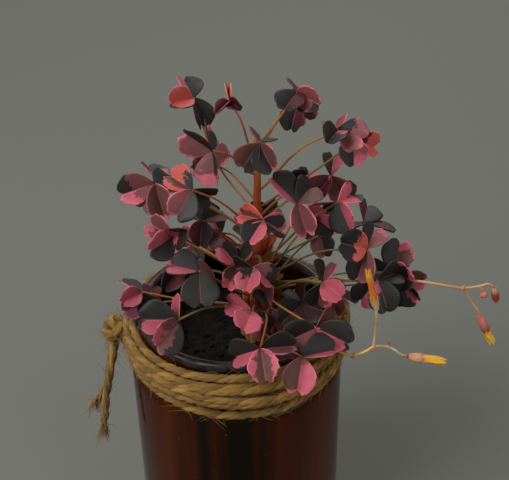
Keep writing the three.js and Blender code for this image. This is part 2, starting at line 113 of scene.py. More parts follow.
class Look(Enum):
    """How half a leaflet is coloured: its field, its second colour, and where that lies and how far."""

    DARK = (Tone.DARK, Tone.PLUM, Lay.RIB, 0.05)
    GREEN_DARK = (Tone.SLATE, Tone.PLUM, Lay.RIB, 0.05)
    DARK_PINK_RIM = (Tone.DARK, Tone.PINK, Lay.RIM, 0.30)
    DARK_PINK_TIP = (Tone.DARK, Tone.PINK, Lay.TIP, 0.28)
    DARK_PINK_FOOT = (Tone.DARK, Tone.PINK, Lay.FOOT, 0.38)
    DARK_PINK_RIB = (Tone.DARK, Tone.PINK, Lay.RIB, 0.28)
    DARK_CORAL_FOOT = (Tone.DARK, Tone.CORAL, Lay.FOOT, 0.45)
    DARK_MAUVE_FOOT = (Tone.DARK, Tone.MAUVE, Lay.FOOT, 0.55)
    DARK_MAUVE_RIB = (Tone.DARK, Tone.MAUVE, Lay.RIB, 0.42)
    PLUM = (Tone.PLUM, Tone.DARK, Lay.TIP, 0.25)
    WINE = (Tone.WINE, Tone.DARK, Lay.TIP, 0.20)
    BROWN = (Tone.BROWN, Tone.MAUVE, Lay.RIM, 0.15)
    BROWN_PINK_RIM = (Tone.BROWN, Tone.PINK, Lay.RIM, 0.13)
    BROWN_PINK_TIP = (Tone.BROWN, Tone.PINK, Lay.TIP, 0.30)
    MAUVE = (Tone.MAUVE, Tone.ROSE, Lay.RIM, 0.14)
    MAUVE_PINK_RIM = (Tone.MAUVE, Tone.PINK, Lay.RIM, 0.17)
    MAUVE_PINK_TIP = (Tone.MAUVE, Tone.PINK, Lay.TIP, 0.36)
    MAUVE_DARK_TIP = (Tone.MAUVE, Tone.DARK, Lay.TIP, 0.36)
    PURPLE = (Tone.PURPLE, Tone.MAUVE, Lay.RIM, 0.20)
    ROSE = (Tone.ROSE, Tone.PINK, Lay.RIM, 0.12)
    ROSE_PINK_RIM = (Tone.ROSE, Tone.PINK, Lay.RIM, 0.22)
    ROSE_PINK_TIP = (Tone.ROSE, Tone.PINK, Lay.TIP, 0.34)
    ROSE_DARK_FOOT = (Tone.ROSE, Tone.DARK, Lay.FOOT, 0.55)
    ROSE_DARK_RIM = (Tone.ROSE, Tone.DARK, Lay.RIM, 0.34)
    PINK = (Tone.PINK, Tone.ROSE, Lay.FOOT, 0.20)
    PINK_DARK_RIM = (Tone.PINK, Tone.DARK, Lay.RIM, 0.14)
    PINK_DARK_TIP = (Tone.PINK, Tone.DARK, Lay.TIP, 0.38)
    PINK_DARK_FOOT = (Tone.PINK, Tone.DARK, Lay.FOOT, 0.45)
    PINK_MAUVE_FOOT = (Tone.PINK, Tone.MAUVE, Lay.FOOT, 0.55)
    PINK_BROWN_RIB = (Tone.PINK, Tone.BROWN, Lay.RIB, 0.60)
    CORAL = (Tone.CORAL, Tone.PINK, Lay.RIM, 0.20)
    CORAL_BROWN_RIB = (Tone.CORAL, Tone.BROWN, Lay.RIB, 0.50)
    CORAL_DARK_RIM = (Tone.CORAL, Tone.DARK, Lay.RIM, 0.14)
    CORAL_DARK_FOOT = (Tone.CORAL, Tone.DARK, Lay.FOOT, 0.42)
    CORAL_WINE_FOOT = (Tone.CORAL, Tone.WINE, Lay.FOOT, 0.45)
    PALE_CORAL = (Tone.PALE_CORAL, Tone.CORAL, Lay.FOOT, 0.35)


@dataclass(frozen=True)
class Leaflet:
    """One leaflet: the pixel of its tip, how it stands, and the looks of its two halves.

    It leans towards the eye where lean is 1 and away from it where lean is -1. Its turn about its own length
    and the fold of its halves are in degrees.
    """

    tip_x: float
    tip_y: float
    lean: int
    turn: float
    fold: float
    left: Look
    right: Look


@dataclass(frozen=True)
class Leaf:
    """One leaf: its hub, the height of its foot on the stem, its leaflets' length and its stalk.

    The hub, and the place that a bent stalk goes by, are a pixel across, a pixel down and a depth.
    """

    hub: Triple
    foot: float
    length: float
    leaflets: tuple[Leaflet, ...]
    stalk: Tone
    via: Triple | None = None


LEAVES = (
    Leaf((193.5, 98, 14), 36, 9.6, (
        Leaflet(182, 77, -1, 45, 28, Look.PINK, Look.DARK),
        Leaflet(170, 104, 1, 20, 45, Look.CORAL_DARK_RIM, Look.CORAL),
        Leaflet(203, 132, -1, -40, 40, Look.DARK, Look.WINE),
    ), Tone.GOLD, (220, 168, 14.5)),
    Leaf((212, 151, -6), 50, 10.4, (
        Leaflet(181, 131, 1, -40, 32, Look.MAUVE_PINK_RIM, Look.DARK),
        Leaflet(206, 122, -1, 75, 12, Look.DARK, Look.DARK_PINK_RIM),
        Leaflet(215, 188, 1, 40, 36, Look.DARK_PINK_TIP, Look.MAUVE_PINK_TIP),
    ), Tone.ROSY),
    Leaf((214, 164, 14), 40, 9.5, (
        Leaflet(193, 172, 1, 10, 35, Look.BROWN, Look.BROWN_PINK_RIM),
        Leaflet(204, 146, -1, 45, 25, Look.BROWN, Look.DARK),
        Leaflet(228, 158, 1, -40, 30, Look.BROWN, Look.BROWN_PINK_TIP),
    ), Tone.GOLD),
    Leaf((192, 190, -8), 30, 10.2, (
        Leaflet(168, 174, -1, 15, 35, Look.CORAL_BROWN_RIB, Look.CORAL_DARK_FOOT),
        Leaflet(176, 218, 1, 0, 30, Look.DARK, Look.ROSE_PINK_RIM),
        Leaflet(211, 197, -1, 10, 50, Look.PLUM, Look.DARK),
    ), Tone.GOLD),
    Leaf((155, 184, 0), 27, 11.5, (
        Leaflet(118, 196, -1, 10, 38, Look.PINK_MAUVE_FOOT, Look.MAUVE_DARK_TIP),
        Leaflet(165, 218, 1, 0, 48, Look.BROWN_PINK_RIM, Look.BROWN),
        Leaflet(176, 183, -1, -55, 25, Look.DARK, Look.DARK),
    ), Tone.GOLD),
    Leaf((160, 183, 16), 26, 10.8, (
        Leaflet(146, 164, -1, 55, 25, Look.PINK_DARK_TIP, Look.PINK_DARK_TIP),
        Leaflet(139, 213, 1, 0, 25, Look.CORAL_BROWN_RIB, Look.CORAL_BROWN_RIB),
        Leaflet(182, 190, 1, -45, 25, Look.DARK, Look.DARK),
    ), Tone.OLIVE),
    Leaf((173, 237, -17), 10, 10, (
        Leaflet(148, 223, -1, 0, 45, Look.MAUVE_PINK_TIP, Look.MAUVE_PINK_RIM),
        Leaflet(150, 251, 1, -15, 35, Look.DARK, Look.PINK),
        Leaflet(186, 231, 1, 10, 50, Look.PINK_DARK_TIP, Look.DARK_PINK_FOOT),
    ), Tone.GOLD, (200, 249, -10.5)),
    Leaf((202, 221, 6), 19, 9.5, (
        Leaflet(200, 246, 1, 0, 45, Look.DARK, Look.WINE),
        Leaflet(222, 214, -1, -30, 35, Look.DARK, Look.WINE),
        Leaflet(186, 210, -1, 40, 30, Look.WINE, Look.DARK),
    ), Tone.RUST, (222, 236, 4)),
    Leaf((221, 233, 14), 18, 8.6, (
        Leaflet(210, 214, -1, 10, 40, Look.PINK, Look.DARK),
        Leaflet(230, 248, -1, 10, 45, Look.CORAL, Look.CORAL),
        Leaflet(208, 246, 1, -10, 40, Look.MAUVE, Look.MAUVE_PINK_RIM),
    ), Tone.GOLD),
    Leaf((259, 143, -9), 58, 9.6, (
        Leaflet(243, 168, -1, 15, 40, Look.DARK, Look.BROWN),
        Leaflet(273, 170, 1, 15, 42, Look.BROWN_PINK_RIM, Look.DARK),
        Leaflet(262, 136, -1, 0, 30, Look.BROWN, Look.DARK),
    ), Tone.RUST),
    Leaf((230, 102, -4), 58, 6.4, (
        Leaflet(217, 114, 1, 30, 66, Look.PURPLE, Look.PURPLE),
        Leaflet(241, 109, 1, 0, 62, Look.WINE, Look.WINE),
        Leaflet(228, 86, -1, 0, 78, Look.PALE_CORAL, Look.PALE_CORAL),
    ), Tone.PALE_CORAL, (240, 118, -3)),
    Leaf((297, 92, 0), 61, 9.2, (
        Leaflet(285, 109, 1, 20, 30, Look.WINE, Look.DARK),
        Leaflet(319, 105, 1, 10, 40, Look.ROSE, Look.ROSE_DARK_RIM),
        Leaflet(299, 87, -1, 0, 30, Look.WINE, Look.DARK),
    ), Tone.GOLD, (285, 110, 1)),
    Leaf((298, 103, 11), 57, 9, (
        Leaflet(291, 130, 1, 15, 40, Look.WINE, Look.DARK),
        Leaflet(307, 121, -1, -15, 45, Look.PINK_BROWN_RIB, Look.MAUVE_PINK_RIM),
        Leaflet(281, 96, -1, 50, 30, Look.WINE, Look.DARK),
    ), Tone.GOLD, (280, 116, 9)),
    Leaf((338, 130, -8), 44, 9.4, (
        Leaflet(364, 139, 1, 0, 12, Look.ROSE_DARK_FOOT, Look.ROSE_PINK_RIM),
        Leaflet(334, 121, -1, 10, 35, Look.ROSE, Look.ROSE),
        Leaflet(329, 142, 1, 10, 45, Look.DARK_PINK_FOOT, Look.DARK),
    ), Tone.GOLD, (300, 149, -4)),
    Leaf((354, 140, 4), 37, 9.8, (
        Leaflet(354, 165, 1, 0, 35, Look.ROSE_PINK_TIP, Look.DARK),
        Leaflet(377, 148, -1, -15, 42, Look.CORAL_WINE_FOOT, Look.CORAL_WINE_FOOT),
        Leaflet(343, 121, -1, 40, 30, Look.ROSE, Look.ROSE),
    ), Tone.OLIVE, (330, 160, 4)),
    Leaf((297, 203, -14), 15, 11, (
        Leaflet(271, 178, 1, 50, 25, Look.PINK, Look.DARK),
        Leaflet(308, 237, 1, 0, 50, Look.MAUVE_PINK_RIM, Look.MAUVE_PINK_RIM),
        Leaflet(313, 185, -1, 0, 35, Look.DARK, Look.BROWN),
    ), Tone.GOLD, (291, 224, -12)),
    Leaf((304, 187, 12), 33, 8.6, (
        Leaflet(290, 176, 1, 20, 40, Look.PINK, Look.DARK),
        Leaflet(310, 171, -1, 0, 40, Look.DARK, Look.PINK),
        Leaflet(320, 191, 1, -20, 35, Look.PINK, Look.DARK_PINK_RIM),
    ), Tone.GOLD),
    Leaf((331, 176, 6), 31, 9.8, (
        Leaflet(313, 200, 1, 20, 45, Look.WINE, Look.WINE),
        Leaflet(346, 200, -1, 0, 42, Look.BROWN, Look.ROSE),
        Leaflet(334, 155, -1, 0, 50, Look.DARK, Look.PINK),
    ), Tone.GOLD),
    Leaf((338, 202, -6), 17, 9.8, (
        Leaflet(358, 193, -1, -15, 45, Look.PINK_DARK_TIP, Look.PINK_DARK_TIP),
        Leaflet(350, 229, 1, 30, 32, Look.PINK, Look.DARK),
        Leaflet(319, 206, -1, -60, 20, Look.WINE, Look.PINK),
    ), Tone.OLIVE),
    Leaf((317, 219, 8), 10, 8.6, (
        Leaflet(309, 206, 1, 10, 45, Look.PINK, Look.PINK),
        Leaflet(334, 231, 1, 10, 38, Look.PINK, Look.DARK),
        Leaflet(330, 208, -1, 20, 50, Look.WINE, Look.WINE),
    ), Tone.GOLD),
    Leaf((367, 249, -11), 10, 10.6, (
        Leaflet(341, 243, 1, 0, 28, Look.DARK_CORAL_FOOT, Look.DARK_CORAL_FOOT),
        Leaflet(376, 226, -1, 10, 38, Look.DARK, Look.ROSE_PINK_TIP),
        Leaflet(357, 280, -1, 0, 38, Look.MAUVE, Look.DARK),
    ), Tone.OLIVE, (318, 252, -4.5)),
    Leaf((364, 222, 8), 14, 10.4, (
        Leaflet(347, 231, 1, 70, 15, Look.WINE, Look.WINE),
        Leaflet(395, 233, 1, -78, 14, Look.WINE, Look.DARK),
        Leaflet(368, 203, -1, 30, 30, Look.WINE, Look.DARK),
    ), Tone.OLIVE),
    Leaf((263, 220, -11), 21, 8.8, (
        Leaflet(239, 214, -1, 10, 48, Look.CORAL, Look.CORAL_BROWN_RIB),
        Leaflet(249, 242, 1, 20, 32, Look.PINK, Look.DARK),
        Leaflet(284, 232, -1, -35, 30, Look.DARK_PINK_RIM, Look.DARK_PINK_RIB),
    ), Tone.GOLD),
    Leaf((264, 214, 17), 32, 8, (
        Leaflet(250, 205, 1, 0, 45, Look.DARK, Look.DARK_MAUVE_RIB),
        Leaflet(278, 207, -1, 0, 40, Look.DARK, Look.WINE),
        Leaflet(268, 232, 1, 0, 40, Look.DARK_MAUVE_RIB, Look.DARK),
    ), Tone.RUST),
    Leaf((199, 271, -14), 3, 11.2, (
        Leaflet(169, 265, -1, 35, 30, Look.PINK_DARK_RIM, Look.DARK),
        Leaflet(201, 305, 1, 0, 12, Look.GREEN_DARK, Look.GREEN_DARK),
        Leaflet(218, 279, -1, -70, 18, Look.MAUVE, Look.WINE),
    ), Tone.GOLD, (222, 283, -8)),
    Leaf((180, 270, 8), 6, 9.8, (
        Leaflet(170, 250, -1, 0, 48, Look.PINK, Look.PINK),
        Leaflet(165, 289, 1, 0, 48, Look.WINE, Look.DARK),
        Leaflet(198, 262, 1, -30, 35, Look.DARK, Look.DARK),
    ), Tone.OLIVE),
    Leaf((141, 292, -10), -3, 8.8, (
        Leaflet(120, 280, -1, 72, 15, Look.PINK, Look.DARK),
        Leaflet(121, 303, 1, 0, 48, Look.PINK_DARK_RIM, Look.PINK),
        Leaflet(152, 308, -1, 10, 38, Look.DARK, Look.GREEN_DARK),
    ), Tone.GOLD, (183, 299.5, -6.5)),
    Leaf((148, 304, -2), -4, 8.8, (
        Leaflet(123, 312, 1, 0, 45, Look.PURPLE, Look.PURPLE),
        Leaflet(152, 287, -1, 0, 45, Look.MAUVE, Look.WINE),
        Leaflet(162, 314, 1, 0, 40, Look.DARK, Look.DARK),
    ), Tone.OLIVE),
    Leaf((178, 320, -26), -2, 12, (
        Leaflet(135, 320, -1, 12, 32, Look.PINK_DARK_RIM, Look.GREEN_DARK),
        Leaflet(156, 347, 1, -25, 35, Look.DARK_MAUVE_RIB, Look.PINK_MAUVE_FOOT),
        Leaflet(169, 304, -1, 0, 50, Look.PINK, Look.PINK),
    ), Tone.OLIVE, (206, 308, -17)),
    Leaf((253, 268, -19), 9, 9.2, (
        Leaflet(246, 292, 1, 15, 38, Look.PINK, Look.PINK_DARK_FOOT),
        Leaflet(272, 284, -1, -35, 35, Look.DARK_MAUVE_FOOT, Look.PINK),
        Leaflet(237, 268, -1, 0, 45, Look.DARK, Look.DARK),
    ), Tone.GOLD),
    Leaf((238, 266, -8), 8, 9.2, (
        Leaflet(221, 246, -1, 0, 48, Look.PINK, Look.DARK),
        Leaflet(227, 289, 1, 0, 48, Look.MAUVE_PINK_TIP, Look.BROWN_PINK_TIP),
        Leaflet(252, 252, 1, -60, 20, Look.DARK, Look.MAUVE),
    ), Tone.GOLD),
    Leaf((252, 311, -21), -2, 10, (
        Leaflet(226, 303, -1, 0, 48, Look.PINK, Look.PINK_DARK_RIM),
        Leaflet(244, 331, 1, 0, 28, Look.PINK, Look.PINK),
        Leaflet(262, 335, -1, -35, 35, Look.DARK_MAUVE_RIB, Look.PINK),
    ), Tone.GOLD),
    Leaf((271, 306, -13), 2, 9, (
        Leaflet(276, 331, -1, 0, 50, Look.ROSE, Look.PINK),
        Leaflet(286.5, 309, -1, 25, 40, Look.DARK, Look.MAUVE),
        Leaflet(262, 289, -1, 0, 45, Look.DARK, Look.MAUVE),
    ), Tone.GOLD),
    Leaf((302, 304, -11), 0, 10.6, (
        Leaflet(326, 312, 1, 0, 24, Look.PLUM, Look.PLUM),
        Leaflet(283, 322, 1, 0, 25, Look.PLUM, Look.DARK),
        Leaflet(293, 288, -1, 0, 40, Look.DARK, Look.PLUM),
    ), Tone.RUST),
    Leaf((260.5, 349, -40), -4, 10.8, (
        Leaflet(232, 358, -1, 10, 42, Look.PINK_DARK_RIM, Look.DARK),
        Leaflet(266, 381, 1, 0, 38, Look.PINK_BROWN_RIB, Look.PINK_BROWN_RIB),
        Leaflet(296, 346, -1, -15, 55, Look.DARK, Look.MAUVE_PINK_RIM),
    ), Tone.RUST, (267, 318, -26.5)),
    Leaf((302, 357, -39), -12, 11.4, (
        Leaflet(297, 394, 1, 0, 35, Look.PINK, Look.BROWN_PINK_RIM),
        Leaflet(270, 353, -1, 40, 40, Look.WINE, Look.DARK),
        Leaflet(336, 350, -1, -40, 40, Look.DARK, Look.PINK),
    ), Tone.GOLD, (282, 346, -33)),
    Leaf((316, 328, -25), 3, 12, (
        Leaflet(284, 343, 1, 0, 40, Look.ROSE_PINK_RIM, Look.DARK),
        Leaflet(354, 347, 1, -15, 40, Look.DARK, Look.PINK_DARK_RIM),
        Leaflet(336, 322, -1, -20, 55, Look.MAUVE, Look.ROSE),
    ), Tone.GOLD, (280, 306, -18)),
    Leaf((323, 283, -18), 4, 9.4, (
        Leaflet(326, 262, -1, 0, 45, Look.DARK, Look.MAUVE_PINK_RIM),
        Leaflet(343, 298, 1, 0, 40, Look.PINK_DARK_RIM, Look.PINK),
        Leaflet(317, 305, -1, 0, 32, Look.PINK_BROWN_RIB, Look.DARK),
    ), Tone.OLIVE, (300, 280, -10)),
    Leaf((333, 289, -9), 6, 8.8, (
        Leaflet(336, 316, -1, 0, 48, Look.MAUVE, Look.MAUVE_PINK_RIM),
        Leaflet(357, 304, 1, -75, 14, Look.WINE, Look.WINE),
        Leaflet(318, 282, -1, 0, 40, Look.DARK, Look.DARK),
    ), Tone.OLIVE),
    Leaf((378, 280, -16), 7, 10.4, (
        Leaflet(359, 302, -1, 0, 35, Look.PINK, Look.DARK),
        Leaflet(388, 311, 1, 0, 30, Look.DARK, Look.DARK_PINK_FOOT),
        Leaflet(398, 272, -1, 0, 50, Look.DARK, Look.DARK),
    ), Tone.OLIVE, (335, 281, -11.5)),
    Leaf((383, 284, 3), -7, 10, (
        Leaflet(396, 307, -1, 10, 30, Look.DARK, Look.DARK),
        Leaflet(372, 300, 1, 0, 45, Look.DARK, Look.GREEN_DARK),
        Leaflet(372, 268, -1, 10, 40, Look.DARK, Look.DARK),
    ), Tone.OLIVE, (335, 287, 2.5)),
    Leaf((394, 273, -3), 4, 11.2, (
        Leaflet(401, 238, 1, 0, 28, Look.GREEN_DARK, Look.BROWN_PINK_TIP),
        Leaflet(376, 271, -1, 0, 48, Look.PLUM, Look.DARK),
        Leaflet(413, 281, 1, 10, 40, Look.DARK_PINK_RIM, Look.DARK),
    ), Tone.OLIVE, (345, 273, -2)),
    Leaf((399, 282, 6), 2, 9.4, (
        Leaflet(428, 280, -1, 0, 48, Look.BROWN, Look.PINK),
        Leaflet(420, 303, 1, 30, 40, Look.DARK_PINK_RIB, Look.DARK_PINK_RIB),
        Leaflet(391, 262, -1, 0, 45, Look.DARK, Look.WINE),
    ), Tone.GOLD, (350, 279, 7)),
    Leaf((258, 221, 29), 6, 9.4, (
        Leaflet(234, 224, -1, 10, 35, Look.DARK, Look.PINK),
        Leaflet(262, 245, 1, 0, 40, Look.MAUVE_PINK_RIM, Look.DARK),
        Leaflet(280, 210, -1, 0, 35, Look.PINK_BROWN_RIB, Look.ROSE),
    ), Tone.GOLD),
    Leaf((320, 233, 25), 2, 9.6, (
        Leaflet(338, 218, -1, 0, 35, Look.PINK, Look.MAUVE_PINK_RIM),
        Leaflet(325, 256, 1, 0, 38, Look.DARK, Look.MAUVE),
        Leaflet(298, 226, 1, 10, 40, Look.DARK, Look.DARK_PINK_RIM),
    ), Tone.OLIVE),
    Leaf((196, 245, 27), 1, 9.6, (
        Leaflet(178, 232, -1, 0, 38, Look.DARK, Look.MAUVE_PINK_RIM),
        Leaflet(190, 268, 1, 0, 40, Look.GREEN_DARK, Look.PINK),
        Leaflet(218, 238, -1, 0, 40, Look.ROSE_PINK_RIM, Look.DARK),
    ), Tone.GOLD),
)


@dataclass(frozen=True)
class Sight:
    """The eye of the picture, with the picture's size in pixels."""

    ahead: float = 273.6
    above: float = 213.3
    pitch: float = 34.5
    yaw: float = 1.52
    roll: float = -1.16
    focal: float = 1000.0
    width: float = 509.0
    height: float = 480.0
    sensor: float = 36.0

    def eye(self) -> Vector:
        """The place of the eye, in millimetres."""
        return Vector((0.0, -self.ahead, RIM + self.above))

    def axes(self) -> tuple[Vector, Vector, Vector]:
        """Works out the picture's directions.

        Returns:
            Its right, its top, and the way that the eye looks.
        """
        pitch = math.radians(self.pitch)
        yaw = math.radians(self.yaw)
        level = math.cos(pitch)
        ahead = Vector((math.sin(yaw) * level, math.cos(yaw) * level, -math.sin(pitch)))
        right = Vector((math.cos(yaw), -math.sin(yaw), 0.0))
        right.rotate(Quaternion(ahead, -math.radians(self.roll)))
        return right, right.cross(ahead), ahead

    def seen_at(self, x: float, y: float, depth: float) -> Vector:
        """The point that shows at a pixel, at a depth along Y.

        Args:
            x: Pixel from the left.
            y: Pixel from the top.
            depth: Y of the point, in millimetres.

        Returns:
            The point, in millimetres.
        """
        right, top, ahead = self.axes()
        across = (x - self.width / 2) / self.focal
        up = (self.height / 2 - y) / self.focal
        ray = ahead + right * across + top * up
        eye = self.eye()
        return eye + ray * ((depth - eye.y) / ray.y)

    def set_camera(self) -> None:
        """Adds the camera where the eye is."""
        data = bpy.data.cameras.new("sight")
        data.sensor_width = self.sensor
        data.lens = self.focal / self.width * self.sensor
        data.clip_start = MM
        camera = bpy.data.objects.new("sight", data)
        bpy.context.scene.collection.objects.link(camera)
        right, top, ahead = self.axes()
        turn = Matrix((right, top, -ahead)).transposed().to_4x4()
        camera.matrix_world = Matrix.Translation(self.eye() * MM) @ turn
        bpy.context.scene.camera = camera


SIGHT = Sight()


def between(four: list[Vector], part: float) -> Vector:
    """A point of the smooth curve through four points, between the middle two.

    Args:
        four: The points.
        part: How much of the way from the second to the third.

    Returns:
        The point.
    """
    knots = [0.0]
    for one, other in zip(four, four[1:]):
        knots.append(knots[-1] + max((other - one).length, 1e-6) ** 0.5)
    at = knots[1] + (knots[2] - knots[1]) * part
    level = list(four)
    for reach in (1, 2, 3):
        found = []
        for i in range(len(level) - 1):
            low, high = (knots[1], knots[2]) if reach == 3 else (knots[i], knots[i + reach])
            found.append(level[i] * ((high - at) / (high - low)) + level[i + 1] * ((at - low) / (high - low)))
        level = found
    return level[0]


def smooth_route(points: list[Vector], count: int) -> list[Vector]:
    """Points along the smooth curve through some points.

    Args:
        points: The points that the curve passes through.
        count: How many steps to take along it.

    Returns:
        The points on the curve, one more than the steps.
    """
    ends = [points[0] * 2 - points[1], *points, points[-1] * 2 - points[-2]]
    found = []
    for step in range(count + 1):
        place = step / count * (len(points) - 1)
        span = min(int(place), len(points) - 2)
        found.append(between(ends[span : span + 4], place - span))
    return found


def measured(route: list[Vector]) -> tuple[np.ndarray, np.ndarray]:
    """Measures a route.

    Args:
        route: Its points.

    Returns:
        A row for each point, and how far along the route each is.
    """
    places = np.array([tuple(point) for point in route])
    steps = np.linalg.norm(np.diff(places, axis=0), axis=1)
    return places, np.concatenate([[0.0], np.cumsum(steps)])


class Wire:
    """A socket of a finish's nodes, so that sums on it are written as plain sums."""

    def __init__(self, nodes: FinishNodes, socket: bpy.types.NodeSocket) -> None:
        """Takes the socket, and the nodes that sums on it are added to."""
        self.nodes = nodes
        self.socket = socket

    def _sum(self, operation: str, first: Wire | float, second: Wire | float) -> Wire:
        """One Math node on two values."""
        return self.nodes.node("Math", {"operation": operation}, {0: first, 1: second})

    def __add__(self, other: Wire | float) -> Wire:
        """The sum."""
        return self._sum("ADD", self, other)

    __radd__ = __add__

    def __sub__(self, other: Wire | float) -> Wire:
        """The difference."""
        return self._sum("SUBTRACT", self, other)

    def __rsub__(self, other: Wire | float) -> Wire:
        """The difference from a number."""
        return self._sum("SUBTRACT", other, self)

    def __mul__(self, other: Wire | float) -> Wire:
        """The product."""
        return self._sum("MULTIPLY", self, other)

    __rmul__ = __mul__

    def __pow__(self, power: float) -> Wire:
        """The power."""
        return self._sum("POWER", self, power)

    def at_least(self, other: Wire) -> Wire:
        """The larger of two values."""
        return self._sum("MAXIMUM", self, other)

    def absolute(self) -> Wire:
        """The value without its sign."""
        return self.nodes.node("Math", {"operation": "ABSOLUTE"}, {0: self})

    def wave(self) -> Wire:
        """A sine wave of the value, from 0 to 1."""
        return self.nodes.node("Math", {"operation": "SINE"}, {0: self}) * 0.5 + 0.5

    def clamped(self) -> Wire:
        """The value held between 0 and 1."""
        return self.nodes.node("Clamp", {}, {0: self})

    def above(self, limit: Wire | float, softness: float) -> Wire:
        """1 where the value is above a limit and 0 where it is below, with a soft edge."""
        return ((self - limit) * (1 / softness) + 0.5).clamped()


class FinishNodes:
    """The nodes of one material."""

    FIRST_COLOUR = 6
    SECOND_COLOUR = 7
    MIXED_COLOUR = 2

    def __init__(self, name: str) -> None:
        """Makes a material with no nodes yet.

        Args:
            name: The material's name.
        """
        self.material = bpy.data.materials.new(name)
        self.material.use_nodes = True
        self.tree = self.material.node_tree
        self.tree.nodes.clear()

    def node(self, kind: str, settings: dict, sockets: dict, out: int | str = 0) -> Wire:
        """Adds one node.

        Args:
            kind: The node's type, without its prefix.
            settings: The node's own settings, set first.
            sockets: Values or wires for its inputs, by number or name.
            out: The output to give back.

        Returns:
            That output.
        """
        made = self.tree.nodes.new("ShaderNode" + kind)
        for key, value in settings.items():
            setattr(made, key, value)
        for key, value in sockets.items():
            if isinstance(value, Wire):
                self.tree.links.new(value.socket, made.inputs[key])
            else:
                made.inputs[key].default_value = value
        return Wire(self, made.outputs[out])

    def attribute(self, name: str, out: str = "Color") -> Wire:
        """The values that a piece's mesh holds under a name."""
        return self.node("Attribute", {"attribute_name": name}, {}, out)

    def place(self) -> Wire:
        """The place on the piece."""
        return self.node("TexCoord", {}, {}, "Object")

    def parts(self, vector: Wire) -> tuple[Wire, Wire, Wire]:
        """The three parts of a vector."""
        made = self.node("SeparateXYZ", {}, {0: vector}).socket.node
        return tuple(Wire(self, socket) for socket in made.outputs)

    def speckle(self, scale: float, detail: float, where: Wire | None = None) -> Wire:
        """Soft noise from 0 to 1, at so many grains in a metre or in a unit of a vector."""
        sockets = {"Vector": where or self.place(), "Scale": scale, "Detail": detail}
        return self.node("TexNoise", {}, sockets)

    def mix(self, share: Wire | float, first: Wire | tuple, second: Wire | tuple) -> Wire:
        """A colour between two colours."""
        sockets = {0: share, self.FIRST_COLOUR: first, self.SECOND_COLOUR: second}
        return self.node("Mix", {"data_type": "RGBA"}, sockets, self.MIXED_COLOUR)

    def shaded(self, colour: Wire, light: Wire) -> Wire:
        """A colour made lighter or darker."""
        return self.node("VectorMath", {"operation": "SCALE"}, {0: colour, "Scale": light})

    def bump(self, height: Wire, depth: float) -> Wire:
        """The surface's direction, roughened by a height in millimetres."""
        return self.node("Bump", {}, {"Height": height, "Distance": depth * MM, "Strength": 1.0})

    def close(
        self,
        colour: Wire | tuple,
        roughness: Wire | float,
        fixed: dict[str, float],
        normal: Wire | None = None,
    ) -> None:
        """Joins a colour, roughness and direction to the surface.

        Args:
            colour: The base colour.
            roughness: The roughness.
            fixed: Values that are the same all over, by the name of their socket.
            normal: The surface's direction, where it isn't the mesh's own.
        """
        sockets = {"Base Color": colour, "Roughness": roughness, **fixed}
        if normal:
            sockets["Normal"] = normal
        surface = self.node("BsdfPrincipled", {}, sockets)
        output = self.tree.nodes.new("ShaderNodeOutputMaterial")
        self.tree.links.new(surface.socket, output.inputs["Surface"])


@dataclass(frozen=True)
class LeafFinish:
    """A leaflet's skin: two colours laid out by its mesh, with fine veins and a satin sheen.

    Patches, specks and grain are counted in grains to a metre. The rib's and the margin's widths are parts of
    the leaflet's half.
    """

    name: str
    depth: float
    roughness: float
    patch: float = 420.0
    speck: float = 2300.0
    grain: float = 3200.0
    patch_jag: float = 1.3
    speck_jag: float = 0.5
    jag: float = 1.4
    least_jag: float = 0.06
    edge: float = 0.05
    veins: float = 62.0
    vein_slant: float = 0.55
    vein_narrow: float = 6.0
    vein_pale: float = 0.03
    vein_height: float = -0.35
    rib_width: float = 0.035
    rib_pale: float = 0.16
    rib_height: float = -1.0
    line_soft: float = 0.03
    margin_width: float = 0.045
    margin_gaps: float = 700.0
    margin_light: float = 1.1
    pale: Shade = (206, 126, 128)
    wine_below: float = 0.45

    def make(self, underside: bool) -> Material:
        """Makes the material.

        Args:
            underside: Whether it is the duller skin below.

        Returns:
            The material.
        """
        nodes = FinishNodes(self.name)
        reach, share, chance = nodes.parts(nodes.attribute("zone"))
        across, along, unused = nodes.parts(nodes.node("UVMap", {"uv_map": "UVMap"}, {}))
        side = (across - 0.5).absolute() * 2.0
        patches = (nodes.speckle(self.patch, 3.0) - 0.5) * self.patch_jag
        jag = patches + (nodes.speckle(self.speck, 2.0) - 0.5) * self.speck_jag
        other = (share + jag * (share + self.least_jag) * self.jag).above(reach, self.edge)
        colour = nodes.mix(other, nodes.attribute("field"), nodes.attribute("other"))
        vein = ((along - side * self.vein_slant) * self.veins).wave() ** self.vein_narrow
        rib = (self.rib_width - side).above(0.0, self.line_soft)
        inside = 1.0 - side.at_least(along)
        gaps = nodes.speckle(self.margin_gaps, 2.0)
        margin = (self.margin_width - inside).above(0.0, self.line_soft) * gaps
        lines = rib * self.rib_pale + vein * self.vein_pale
        mottle = nodes.speckle(self.patch, 4.0) * 0.45 + nodes.speckle(self.grain, 2.0) * 0.35
        light = (mottle + 0.6) * (chance * 0.3 + 0.85) * (margin * self.margin_light + 1.0)
        tinted = nodes.shaded(nodes.mix(lines, colour, linear(self.pale)), light)
        if underside:
            tinted = nodes.mix(self.wine_below, tinted, linear(Tone.WINE.value))
        height = vein * self.vein_height + rib * self.rib_height + mottle * 0.8
        nodes.close(
            tinted,
            (mottle * 0.3 + (self.roughness - 0.12)).clamped(),
            {"Specular IOR Level": 0.36},
            nodes.bump(height, self.depth),
        )
        return nodes.material


